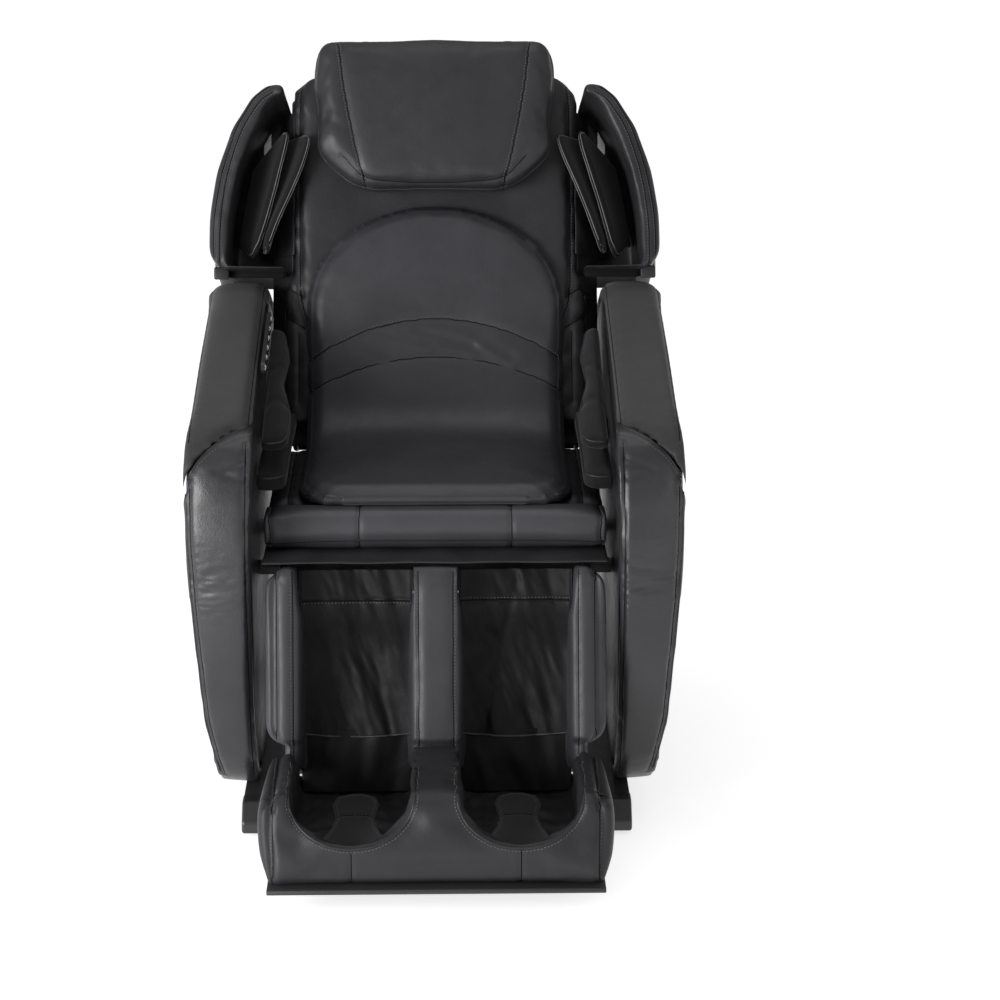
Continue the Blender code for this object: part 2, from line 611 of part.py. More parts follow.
def make_leg_frame():
    frame = rod("leg_frame", 0.0080, -0.2400, 0.2400, LEG_SIDE)
    parts = [block("plate", (-0.180, -0.270, -0.064), (0.180, -0.050, -0.0503), LEG, target=CUTTERS)]
    for side in (-1, 1):
        low, high = sorted((0.150 * side, 0.165 * side))
        outline = rounded([(-0.060, -0.064, 0), (-0.060, -0.0505, 0), (-0.0205, -0.0505, 0),
                           (-0.0095, -0.010, 0.003), (-0.007, 0.009, 0.004), (0.009, 0.009, 0.005),
                           (0.009, -0.020, 0.004), (-0.004, -0.064, 0.006)], 2)
        parts.append(prism("hanger", outline, low, high, LEG_SIDE, target=CUTTERS))
    lever = rounded([(-0.080, -0.055, 0), (-0.053, -0.055, 0), (-0.016, -0.074, 0.008), (-0.016, -0.099, 0.010),
                     (-0.044, -0.099, 0.010)], 3)
    for at in (0.0895, 0.1105):
        parts.append(prism("lever", lever, at, at + 0.006, LEG_SIDE, target=CUTTERS))
    steel(combine(frame, "UNION", *parts))


def make_calf_rest():
    profile = rounded([(CALF_END, -0.050, 0.004), (-0.022, -0.050, 0), (-0.022, 0.014, 0),
                       (CALF_TOP, 0.014, 0.003), (CALF_TOP, 0.050, 0.018), (CALF_END, 0.050, 0.022)], 3)
    body = prism("calf_rest", profile, -CALF_HALF, CALF_HALF, LEG_SIDE, 0.008)
    channels = []
    for side in (-1, 1):
        low, high = sorted((CHANNEL_IN * side, CHANNEL_OUT * side))
        outline = rectangle(low, -0.024, high, 0.100, 0.020, 3)
        turn = LEG @ Matrix.Rotation(math.radians(90), 4, "X")
        channels.append(prism("channel", outline, -0.060, 0.320, turn, target=CUTTERS))
    leather(combine(body, "DIFFERENCE", *channels))


def make_foot_rest():
    side_view = rounded([(-0.2900, FOOT_FRONT, 0.030), (-0.2395, 0.058, 0.006), (-0.2960, 0.056, 0),
                         (-0.2960, -0.048, 0.006), (-0.3460, -0.048, 0.012), (-0.4225, FOOT_FRONT, 0.010)], 3)
    body = prism("foot_rest", side_view, -FOOT_HALF, FOOT_HALF, LEG_SIDE, 0.010)
    cutters = []
    for side in (-1, 1):
        mid = WELL_MID * side
        floor = [(-0.100, 0.230), (-0.3915, 0.230), (-0.3215, -0.024), (-0.2500, -0.024), (-0.100, 0.000)]
        low, high = mid - WELL_HALF, mid + WELL_HALF
        cutters.append(prism("well", floor, low, high, LEG_SIDE, 0.010, 2, target=CUTTERS))
        mouth = [(mid + WELL_HALF, -0.100)] + arc(mid, -0.292, WELL_HALF, 0.066, 0, -180, 12)
        mouth.append((mid - WELL_HALF, -0.100))
        cutters.append(prism("mouth", mouth, 0.200, 0.300, LEG, target=CUTTERS))
    leather(combine(body, "DIFFERENCE", *cutters))


def insole_frame(side):
    """On the floor of a foot well, local y towards the toes."""
    tilt = math.atan2(0.3915 - 0.3215, 0.230 + 0.024)
    heel = (-0.3215, -0.024)
    out = Vector((-math.sin(tilt), math.cos(tilt)))
    up = Vector((math.cos(tilt), math.sin(tilt)))
    start = Vector(heel) + out * 0.010 + up * 0.0004
    rows = ((1, 0, 0, WELL_MID * side), (0, out.x, up.x, start.x), (0, out.y, up.y, start.y), (0, 0, 0, 1))
    return LEG @ Matrix(rows)


def make_insole(side, word):
    right = [(0.010, 0.004), (0.030, 0.015), (0.036, 0.044), (0.030, 0.092), (0.034, 0.126),
             (0.046, 0.165), (0.046, 0.194), (0.034, 0.220), (0.012, 0.232)]
    outline = right + [(-u, v) for u, v in reversed(right)]
    fabric(prism("insole_" + word, outline, 0.0, 0.007, insole_frame(side), 0.002, 1))


# ---------------------------------------------------------------- actuators


def actuator(name, x, base, tip, tube_length):
    """A tube pivoted at `base` and a rod ending at `tip`, in the side plane at `x`."""
    start, end = Vector(base), Vector(tip)
    along = (end - start).normalized()
    length = (end - start).length
    rows = ((0, 0, -1, x), (along.x, -along.y, 0, start.x), (along.y, along.x, 0, start.y), (0, 0, 0, 1))
    frame = TOP @ Matrix(rows)
    turned = frame @ Matrix.Rotation(math.radians(90), 4, "Y")
    shell = [(0, 0.060), (0.0066, 0.060), (0.0066, tube_length), (0.0160, tube_length),
             (0.0180, tube_length - 0.004), (0.0180, 0.024), (0.0120, 0.016), (0, 0.016)]
    tube = lathe(name + "_tube", shell, turned, 24)
    eye = rod("eye", 0.0130, -0.0125, 0.0125, frame, 20, CUTTERS)
    trunnion = rod("trunnion", 0.0060, -0.0205, 0.0205, frame, 20, CUTTERS)
    neck = rod("neck", 0.0100, 0.004, 0.030, turned, 16, CUTTERS)
    paint(combine(tube, "UNION", eye, trunnion, neck), DARK, 0.40)
    stem = rod(name + "_rod", 0.0060, 0.070, length, turned, 24)
    tip_frame = frame @ move(length, 0, 0)
    steel(combine(stem, "UNION", rod("rod_eye", 0.0100, -0.0060, 0.0060, tip_frame, 20, CUTTERS)))


def in_side_view(frame, along, out):
    point = frame @ Vector((0, along, out))
    return point.y - SHIFT_Y, point.z


# ---------------------------------------------------------------- build

clear_scene()
CHAIR = collection("massage_chair")
CUTTERS = collection("cutters")

make_base()
make_seat_frame()
make_electrics()
make_seat()
for SIGN, WORD in ((-1, "right"), (1, "left")):
    make_arm(SIGN, WORD)
    make_forearm(SIGN, WORD)
    make_pod(SIGN, WORD)
    make_flaps(SIGN, WORD)
    make_insole(SIGN, WORD)
make_controls()
make_back_frame()
make_back_shell()
make_back_soft()
make_pillow()
make_mechanism()
make_leg_frame()
make_calf_rest()
make_foot_rest()
actuator("leg_actuator", LEG_DRIVE_X, LEG_DRIVE, in_side_view(LEG, -0.030, -0.086), 0.30)
actuator("back_actuator", BACK_DRIVE_X, BACK_DRIVE, in_side_view(BACK, -0.100, 0.0), 0.16)
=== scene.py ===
"""Looks of the massage chair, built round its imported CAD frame.

Metres, +Z up. The chair faces -Y, and "left" is the sitter's left, +X.
Each soft piece is shaped in its own flat frame, where local x runs across the chair, y along
the piece and z out of it, and is then placed on the chair.
"""

import json
import math

import bmesh
import bpy
import numpy as np
from mathutils import Matrix, Vector, noise
from mathutils.bvhtree import BVHTree


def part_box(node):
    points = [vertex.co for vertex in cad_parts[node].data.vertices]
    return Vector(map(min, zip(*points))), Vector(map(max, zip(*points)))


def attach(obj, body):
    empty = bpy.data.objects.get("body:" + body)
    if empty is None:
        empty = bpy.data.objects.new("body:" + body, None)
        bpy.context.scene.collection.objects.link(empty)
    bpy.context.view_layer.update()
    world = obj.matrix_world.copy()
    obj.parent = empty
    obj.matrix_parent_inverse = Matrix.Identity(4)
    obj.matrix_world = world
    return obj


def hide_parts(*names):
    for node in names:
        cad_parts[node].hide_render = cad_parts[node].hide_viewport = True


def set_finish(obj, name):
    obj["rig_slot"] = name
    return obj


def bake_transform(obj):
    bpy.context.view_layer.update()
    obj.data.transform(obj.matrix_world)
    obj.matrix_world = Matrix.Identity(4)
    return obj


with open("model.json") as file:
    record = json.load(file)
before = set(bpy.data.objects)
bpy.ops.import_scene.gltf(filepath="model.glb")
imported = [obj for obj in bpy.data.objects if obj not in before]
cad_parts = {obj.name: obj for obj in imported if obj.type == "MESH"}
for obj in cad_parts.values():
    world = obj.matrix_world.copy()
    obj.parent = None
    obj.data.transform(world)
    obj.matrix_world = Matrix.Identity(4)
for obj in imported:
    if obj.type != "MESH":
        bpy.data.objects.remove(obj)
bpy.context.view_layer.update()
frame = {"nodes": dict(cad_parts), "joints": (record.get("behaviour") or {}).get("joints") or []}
NODES = frame["nodes"]
JOINTS = {joint["name"]: joint for joint in frame["joints"]}
SIDES = ((-1, "right"), (1, "left"))

# ---------------------------------------------------------------- driving values
CAMERA_AT = (0.0218, -4.2041, 1.735)
CAMERA_PITCH = 17.0             # degrees below the horizon
CAMERA_YAW = 1.09               # degrees to the right
CAMERA_LENS = 99.8              # millimetres, on a 36 mm sensor

STITCH_PITCH, STITCH_LENGTH, STITCH_RADIUS = 0.0052, 0.0036, 0.00055
ROW = 0.0034                    # distance of a stitch row from its seam
PIPING = 0.0021                 # radius of a piped edge
FOLD = 0.0009                   # radius of the near-black line at the bottom of a seam, which is painted shade

ARM_IN, ARM_OUT = 0.272, 0.376
ARM_SEAM_IN, ARM_SEAM_OUT = 0.622, 0.520
# how much narrower an arm is at its outer side, from the ground up: (height, depth)
ARM_TAPER = ((0.030, 0.0480), (0.090, 0.0340), (0.170, 0.0185), (0.290, 0.0095), (0.370, 0.0040), (0.460, 0.0))
ARM_ROLL = 0.018                # how far an arm's front falls back at its outer edge

PAD_BEND = 0.130                # radius of the oval pad where the seat meets the back
PAD_THICK = 0.0255


# ---------------------------------------------------------------- frames

def axes(origin, x, y, z):
    rows = [(x[i], y[i], z[i], origin[i]) for i in range(3)]
    return Matrix((*rows, (0, 0, 0, 1)))


def leaning(origin, up):
    """Local x across the chair, y along `up`, z out of the front."""
    x, y = Vector((1, 0, 0)), Vector(up).normalized()
    return axes(Vector(origin), x, y, x.cross(y))


BACK = leaning(JOINTS["recline"]["pos_m"], JOINTS["carriage_travel"]["axis"])
LEG = leaning(JOINTS["leg_lift"]["pos_m"], -Vector(JOINTS["foot_slide"]["axis"]))
PILLOW = leaning(JOINTS["pillow_flip"]["pos_m"], JOINTS["carriage_travel"]["axis"])
ROW_FRAME = Matrix.Identity(4)


def moved(matrix, points):
    """Points (n, 3) carried by a 4x4 matrix."""
    m = np.array(matrix, float)
    return np.asarray(points, float) @ m[:3, :3].T + m[:3, 3]


def local_box(node, place):
    """Lowest and highest corner of a CAD node in a piece's own frame."""
    points = moved(place.inverted(), coords(NODES[node].data))
    return points.min(0), points.max(0)


# ---------------------------------------------------------------- meshes

def coords(mesh):
    flat = np.empty(len(mesh.vertices) * 3, np.float32)
    mesh.vertices.foreach_get("co", flat)
    return flat.reshape(-1, 3).astype(float)


def set_coords(mesh, points):
    mesh.vertices.foreach_set("co", np.asarray(points, np.float32).ravel())
    mesh.update()


def normals(mesh):
    flat = np.empty(len(mesh.vertices) * 3, np.float32)
    mesh.vertex_normals.foreach_get("vector", flat)
    return flat.reshape(-1, 3).astype(float)


def add(name, verts, faces):
    mesh = bpy.data.meshes.new(name)
    mesh.from_pydata([tuple(v) for v in verts], [], [tuple(f) for f in faces])
    mesh.update()
    obj = bpy.data.objects.new(name, mesh)
    bpy.context.scene.collection.objects.link(obj)
    return obj


def bake(obj):
    """The object's mesh with its modifiers applied."""
    graph = bpy.context.evaluated_depsgraph_get()
    made = bpy.data.meshes.new_from_object(obj.evaluated_get(graph), depsgraph=graph)
    obj.modifiers.clear()
    old = obj.data
    obj.data = made
    bpy.data.meshes.remove(old)
    return obj


def remesh(obj, voxel):
    modifier = obj.modifiers.new("remesh", "REMESH")
    modifier.mode = "VOXEL"
    modifier.voxel_size = voxel
    return bake(obj)


def relax(obj, rounds, factor=0.5):
    modifier = obj.modifiers.new("relax", "SMOOTH")
    modifier.iterations = rounds
    modifier.factor = factor
    return bake(obj)


def subdivide(obj):
    modifier = obj.modifiers.new("subdivide", "SUBSURF")
    modifier.levels = 1
    modifier.render_levels = 1
    return bake(obj)


def thicken(obj, thickness):
    obj.modifiers.new("thick", "SOLIDIFY").thickness = thickness
    return bake(obj)


def round_edges(obj, width, segments):
    bevel = obj.modifiers.new("edge", "BEVEL")
    bevel.width = width
    bevel.segments = segments
    return bake(obj)


def grid(name, wide, tall, point, flip=False):
    """An open sheet; point(across, along) gives a corner's place, for 0 to 1 each way."""
    row = wide + 1
    verts = [point(i / wide, j / tall) for j in range(tall + 1) for i in range(row)]
    turn = -1 if flip else 1
    first = [j * row + i for j in range(tall) for i in range(wide)]
    faces = [(a, a + 1, a + row + 1, a + row)[::turn] for a in first]
    return add(name, verts, faces)


def prism(name, start, end, flip=False):
    """A closed solid between two outlines with as many points each."""
    count = len(start)
    faces = [tuple(range(count))[::-1], tuple(range(count, 2 * count))]
    faces += [(i, (i + 1) % count, count + (i + 1) % count, count + i) for i in range(count)]
    return add(name, start + end, [face[::-1] for face in faces] if flip else faces)


def inflate(obj, pressure, cap, steps):
    """Blows the piece up as cloth, and lets no point move further than `cap`."""
    start = coords(obj.data)
    cloth = obj.modifiers.new("cloth", "CLOTH")
    settings = cloth.settings
    settings.quality = 4
    settings.mass = 0.3
    settings.tension_stiffness = 12
    settings.compression_stiffness = 12
    settings.shear_stiffness = 6
    settings.bending_stiffness = 0.6
    settings.use_pressure = True
    settings.uniform_pressure_force = pressure
    settings.effector_weights.gravity = 0
    cloth.collision_settings.use_collision = False
    cloth.point_cache.frame_start = 1
    cloth.point_cache.frame_end = steps
    for step in range(1, steps + 1):
        bpy.context.scene.frame_set(step)
    bake(obj)
    bpy.context.scene.frame_set(1)
    way = coords(obj.data) - start
    length = np.maximum(np.linalg.norm(way, axis=1), 1e-9)
    set_coords(obj.data, start + way * np.minimum(1, cap / length)[:, None])


def weld(mesh):
    work = bmesh.new()
    work.from_mesh(mesh)
    bmesh.ops.remove_doubles(work, verts=work.verts, dist=0.00002)
    work.to_mesh(mesh)
    work.free()


# ---------------------------------------------------------------- lines

def smooth_line(points, step=0.004, closed=False):
    """A smooth curve through a few points, resampled at an even step."""
    p = [np.array(q, float) for q in points]
    n = len(p)
    out = []
    for i in range(n if closed else n - 1):
        a = p[(i - 1) % n] if closed or i else 2 * p[0] - p[1]
        b, c = p[i], p[(i + 1) % n]
        d = p[(i + 2) % n] if closed or i + 2 < n else 2 * p[-1] - p[-2]
        pieces = max(2, int(np.linalg.norm(c - b) / step))
        for k in range(pieces):
            t = k / pieces
            out.append(0.5 * (2 * b + (c - a) * t + (2 * a - 5 * b + 4 * c - d) * t * t
                              + (3 * b - a - 3 * c + d) * t ** 3))
    if not closed:
        out.append(p[-1])
    return even(np.array(out), step, closed)


def even(line, step, closed=False):
    """The same line with its points an even step apart."""
    if closed:
        line = np.vstack([line, line[:1]])
    along = np.concatenate([[0], np.cumsum(np.linalg.norm(np.diff(line, axis=0), axis=1))])
    count = max(3, int(along[-1] / step))
    at = np.linspace(0, along[-1], count + 1)
    if closed:
        at = at[:-1]
    return np.column_stack([np.interp(at, along, line[:, i]) for i in range(line.shape[1])])


def distance(points, line):
    """Distance of each point from a line of short pieces."""
    best = np.full(len(points), 1e9)
    for a, b in zip(line[:-1], line[1:]):
        ab = b - a
        t = np.clip((points - a) @ ab / max(ab @ ab, 1e-12), 0, 1)
        gap = points - a - t[:, None] * ab
        best = np.minimum(best, np.einsum("ij,ij->i", gap, gap))
    return np.sqrt(best)


def tangents(line, closed=False):
    if closed:
        ahead = np.roll(line, -1, 0) - np.roll(line, 1, 0)
    else:
        ahead = np.gradient(line, axis=0)
    return ahead / np.maximum(np.linalg.norm(ahead, axis=1), 1e-9)[:, None]


def tube(line, up, radius, closed=False, sides=6):
    """Vertices and faces of a thin tube along a line; `up` is a normal at each point."""
    t = tangents(line, closed)
    side = np.cross(t, up)
    side /= np.maximum(np.linalg.norm(side, axis=1), 1e-9)[:, None]
    out = np.cross(side, t)
    verts = []
    for k in range(sides):
        turn = 2 * math.pi * k / sides
        verts.append(line + radius * (math.cos(turn) * side + math.sin(turn) * out))
    n = len(line)
    verts = np.stack(verts, 1).reshape(-1, 3)
    faces = []
    for i in range(n if closed else n - 1):
        j = (i + 1) % n
        for k in range(sides):
            m = (k + 1) % sides
            faces.append((i * sides + k, i * sides + m, j * sides + m, j * sides + k))
    if not closed:
        faces.append(tuple(range(sides))[::-1])
        faces.append(tuple((n - 1) * sides + k for k in range(sides)))
    return verts, faces


def stitches(line, up, closed=False):
    """One small spindle for each stitch along a line."""
    middles = even(line, STITCH_PITCH, closed)
    pick = np.linspace(0, len(line) - 1, len(middles)).round().astype(int)
    n = up[pick]
    t = tangents(middles, closed)
    s = np.cross(t, n)
    s /= np.maximum(np.linalg.norm(s, axis=1), 1e-9)[:, None]
    half, r = STITCH_LENGTH / 2, STITCH_RADIUS
    shape = [(-half, 0, -r * 0.6), (half, 0, -r * 0.6)]
    for x in (-half * 0.55, half * 0.55):
        shape += [(x, r, 0), (x, 0, r), (x, -r, 0), (x, 0, -r)]
    verts = np.stack([middles + a * t + b * s + c * n for a, b, c in shape], 1).reshape(-1, 3)
    pattern = []
    for k in range(4):
        m = (k + 1) % 4
        pattern += [(0, 2 + k, 2 + m), (2 + k, 6 + k, 6 + m, 2 + m), (6 + k, 1, 6 + m)]
    size = len(shape)
    faces = [tuple(i * size + v for v in face) for i in range(len(middles)) for face in pattern]
    return verts, faces


# ---------------------------------------------------------------- materials

def new_material(name, colour, roughness, metallic=0.0):
    made = bpy.data.materials.new(name)
    made.use_nodes = True
    shader = made.node_tree.nodes["Principled BSDF"]
    shader.inputs["Base Color"].default_value = (*colour, 1)
    shader.inputs["Roughness"].default_value = roughness
    shader.inputs["Metallic"].default_value = metallic
    return made, made.node_tree, shader


def texture(tree, kind, **values):
    """A texture node on the piece's own coordinates."""
    node = tree.nodes.new(kind)
    for key, value in values.items():
        if key in node.inputs:
            node.inputs[key].default_value = value
        else:
            setattr(node, key, value)
    where = tree.nodes.get("where") or tree.nodes.new("ShaderNodeTexCoord")
    where.name = "where"
    tree.links.new(where.outputs["Object"], node.inputs["Vector"])
    return node


def spread(tree, source, low, high, start=0.3, end=0.7):
    node = tree.nodes.new("ShaderNodeMapRange")
    for key, value in (("From Min", start), ("From Max", end), ("To Min", low), ("To Max", high)):
        node.inputs[key].default_value = value
    tree.links.new(source, node.inputs["Value"])
    return node.outputs["Result"]


def tint(tree, source, dark, light):
    node = tree.nodes.new("ShaderNodeValToRGB")
    for element, position, colour in zip(node.color_ramp.elements, (0.30, 0.72), (dark, light)):
        element.position = position
        element.color = (*colour, 1)
    tree.links.new(source, node.inputs["Fac"])
    return node.outputs["Color"]


def bump(tree, height, strength, depth, before=None):
    node = tree.nodes.new("ShaderNodeBump")
    node.inputs["Strength"].default_value = strength
    node.inputs["Distance"].default_value = depth
    tree.links.new(height, node.inputs["Height"])
    if before:
        tree.links.new(before, node.inputs["Normal"])
    return node.outputs["Normal"]


def vary_colour(tree, shader, source, colour, amount):
    """The base colour, darker and lighter by a share of itself."""
    dark, light = [tuple(c * k for c in colour) for k in (1 - amount, 1 + amount)]
    tree.links.new(tint(tree, source.outputs["Fac"], dark, light), shader.inputs["Base Color"])


def vary_gloss(tree, shader, source, roughness, less, more):
    rough = spread(tree, source.outputs["Fac"], roughness - less, roughness + more)
    tree.links.new(rough, shader.inputs["Roughness"])


def leather(name, colour, roughness, grain=620.0, grain_strength=0.30, coat=0.0, sheen=0.0, shine=0.35):
    """Pebbled leather: rounded cells, fine pores, slow changes of shade, worn lighter patches."""
    made, tree, shader = new_material(name, colour, roughness)
    shader.inputs["Specular IOR Level"].default_value = shine
    shader.inputs["Coat Weight"].default_value = coat
    shader.inputs["Coat Roughness"].default_value = 0.30
    shader.inputs["Sheen Weight"].default_value = sheen
    shader.inputs["Sheen Roughness"].default_value = 0.55
    cloudy = texture(tree, "ShaderNodeTexNoise", Scale=11.0, Detail=4.0, Roughness=0.6)
    vary_colour(tree, shader, cloudy, colour, 0.16)
    patchy = texture(tree, "ShaderNodeTexNoise", Scale=46.0, Detail=3.0)
    vary_gloss(tree, shader, patchy, roughness, 0.05, 0.06)
    cells = texture(tree, "ShaderNodeTexVoronoi", Scale=grain, feature="SMOOTH_F1", Smoothness=0.6)
    pores = texture(tree, "ShaderNodeTexNoise", Scale=grain * 2.6, Detail=2.0)
    creases = texture(tree, "ShaderNodeTexNoise", Scale=38.0, Detail=5.0, Distortion=1.6)
    first = bump(tree, creases.outputs["Fac"], 0.10, 0.004)
    second = bump(tree, cells.outputs["Distance"], grain_strength, 0.0005, first)
    tree.links.new(bump(tree, pores.outputs["Fac"], 0.12, 0.0002, second), shader.inputs["Normal"])
    return made


def woven(name, colour, roughness, thread=900.0, sheen=0.25, shine=0.15):
    """Woven or brushed cloth: two crossed sets of threads and a soft sheen."""
    made, tree, shader = new_material(name, colour, roughness)
    shader.inputs["Specular IOR Level"].default_value = shine
    shader.inputs["Sheen Weight"].default_value = sheen
    shader.inputs["Sheen Roughness"].default_value = 0.5
    cloudy = texture(tree, "ShaderNodeTexNoise", Scale=24.0, Detail=4.0)
    vary_colour(tree, shader, cloudy, colour, 0.22)
    first = None
    for direction in ("X", "Y", "Z"):
        threads = texture(tree, "ShaderNodeTexWave", Scale=thread / 6.3, Distortion=0.4,
                          bands_direction=direction)
        first = bump(tree, threads.outputs["Fac"], 0.14, 0.0004, first)
    fuzz = texture(tree, "ShaderNodeTexNoise", Scale=700.0, Detail=3.0)
    tree.links.new(bump(tree, fuzz.outputs["Fac"], 0.25, 0.0004, first), shader.inputs["Normal"])
    vary_gloss(tree, shader, fuzz, roughness, 0.07, 0.07)
    return made


def moulded(name, colour, roughness, texture_size=520.0, strength=0.25):
    """Moulded plastic with a spark-eroded texture and slightly uneven gloss."""
    made, tree, shader = new_material(name, colour, roughness)
    cloudy = texture(tree, "ShaderNodeTexNoise", Scale=7.0, Detail=3.0)
    vary_colour(tree, shader, cloudy, colour, 0.10)
    spark = texture(tree, "ShaderNodeTexNoise", Scale=texture_size * 2, Detail=3.0, Roughness=0.7)
    tree.links.new(bump(tree, spark.outputs["Fac"], strength, 0.0003), shader.inputs["Normal"])
    vary_gloss(tree, shader, cloudy, roughness, 0.05, 0.05)
    return made


def metal(name, colour, roughness, metallic=1.0, strength=0.10):
    """Painted, plated or turned metal with faint streaks and small dents."""
    made, tree, shader = new_material(name, colour, roughness, metallic)
    streaks = texture(tree, "ShaderNodeTexNoise", Scale=60.0, Detail=5.0, Roughness=0.7)
    vary_colour(tree, shader, streaks, colour, 0.12)
    vary_gloss(tree, shader, streaks, roughness, 0.07, 0.08)
    fine = texture(tree, "ShaderNodeTexNoise", Scale=900.0, Detail=2.0)
    tree.links.new(bump(tree, fine.outputs["Fac"], strength, 0.0002), shader.inputs["Normal"])
    return made


LEATHER = leather("leather", (0.0330, 0.0318, 0.0365), 0.42, coat=0.05)
# a lighter copy of the same leather for the front roll: painted light on the roll
ROLL_LIT_LEATHER = leather("leather_roll_lit", (0.0480, 0.0465, 0.0520), 0.42, coat=0.05)
BACK_LEATHER = leather("leather_back", (0.0180, 0.0170, 0.0192), 0.45)
PILLOW_LEATHER = leather("leather_pillow", (0.0225, 0.0210, 0.0235), 0.45)
LEG_LEATHER = leather("leather_leg", (0.0330, 0.0322, 0.0360), 0.48, grain_strength=0.22)
FOOT_LEATHER = leather("leather_foot", (0.0185, 0.0175, 0.0195), 0.50, grain_strength=0.22)
POD_LEATHER = leather("leather_pod", (0.0210, 0.0203, 0.0225), 0.44)
ARM_TOP = leather("leather_arm_top", (0.0200, 0.0198, 0.0196), 0.62,
                  grain=900.0, grain_strength=0.24, sheen=0.12)
ARM_FRONT = leather("leather_arm_front", (0.0250, 0.0250, 0.0275), 0.34,
                    grain=520.0, grain_strength=0.34, coat=0.12)
ARM_SIDE = leather("leather_arm_side", (0.0170, 0.0165, 0.0175), 0.48)
# near-black cloth for the pod hollows, calf channels, foot wells and the gap behind the seat: dark cloth,
# darkened further as painted shade in these recesses
LINING_AND_SHADE = woven("lining", (0.0028, 0.0027, 0.0030), 0.72, sheen=0.03)
FLAP_CLOTH = woven("flap_cloth", (0.0065, 0.0060, 0.0062), 0.78, sheen=0.08)
# near-black cloth in the calf channels and foot wells: dark cloth, darkened further as painted shade in these
# recesses
CHANNEL_CLOTH_AND_SHADE = leather("channel_cloth", (0.0030, 0.0029, 0.0032), 0.58,
                        grain=1500.0, grain_strength=0.10, shine=0.20)
SUEDE = woven("forearm_cloth", (0.0070, 0.0062, 0.0062), 0.85, sheen=0.12)
INSOLE_CLOTH = woven("insole_cloth", (0.0160, 0.0155, 0.0158), 0.80)
THREAD = woven("thread", (0.120, 0.118, 0.122), 0.60, thread=3000.0)
DARK_THREAD = woven("dark_thread", (0.085, 0.083, 0.088), 0.60, thread=3000.0)
PALE_THREAD = woven("pale_thread", (0.210, 0.210, 0.215), 0.60, thread=3000.0)
# near-black tubes at the bottom of seams: painted shade in the seam
SEAM_SHADE = woven("seam_shadow", (0.0020, 0.0020, 0.0022), 0.90, sheen=0.0)
PIPE_LEATHER = leather("leather_piping", (0.0200, 0.0190, 0.0210), 0.40)
SHELL_PLASTIC = moulded("shell_plastic", (0.0150, 0.0150, 0.0158), 0.42)
TRIM_PLASTIC = moulded("trim_plastic", (0.0230, 0.0230, 0.0235), 0.38)
BOX_PLASTIC = moulded("box_plastic", (0.0130, 0.0130, 0.0135), 0.50)
SWITCH_PLASTIC = moulded("switch_plastic", (0.0350, 0.0080, 0.0070), 0.32, strength=0.10)
PALE_PLASTIC = moulded("pale_plastic", (0.520, 0.500, 0.460), 0.34, strength=0.08)
RUBBER = moulded("rubber", (0.0110, 0.0110, 0.0115), 0.75, 300.0, 0.40)
STEEL = metal("painted_steel", (0.060, 0.061, 0.064), 0.42, 0.4)
MECHANISM = metal("zinc_plated", (0.330, 0.335, 0.345), 0.36)
SILVER = metal("satin_silver", (0.640, 0.645, 0.650), 0.24)
ACTUATOR = metal("dark_housing", (0.030, 0.031, 0.033), 0.40, 0.2)


def paint(obj, *materials):
    obj.data.materials.clear()
    for item in materials:
        obj.data.materials.append(item)


def shade_smooth(obj, angle=None):
    obj.data.shade_smooth()
    if angle:
        obj.data.set_sharp_from_angle(angle=math.radians(angle))


# ---------------------------------------------------------------- soft pieces

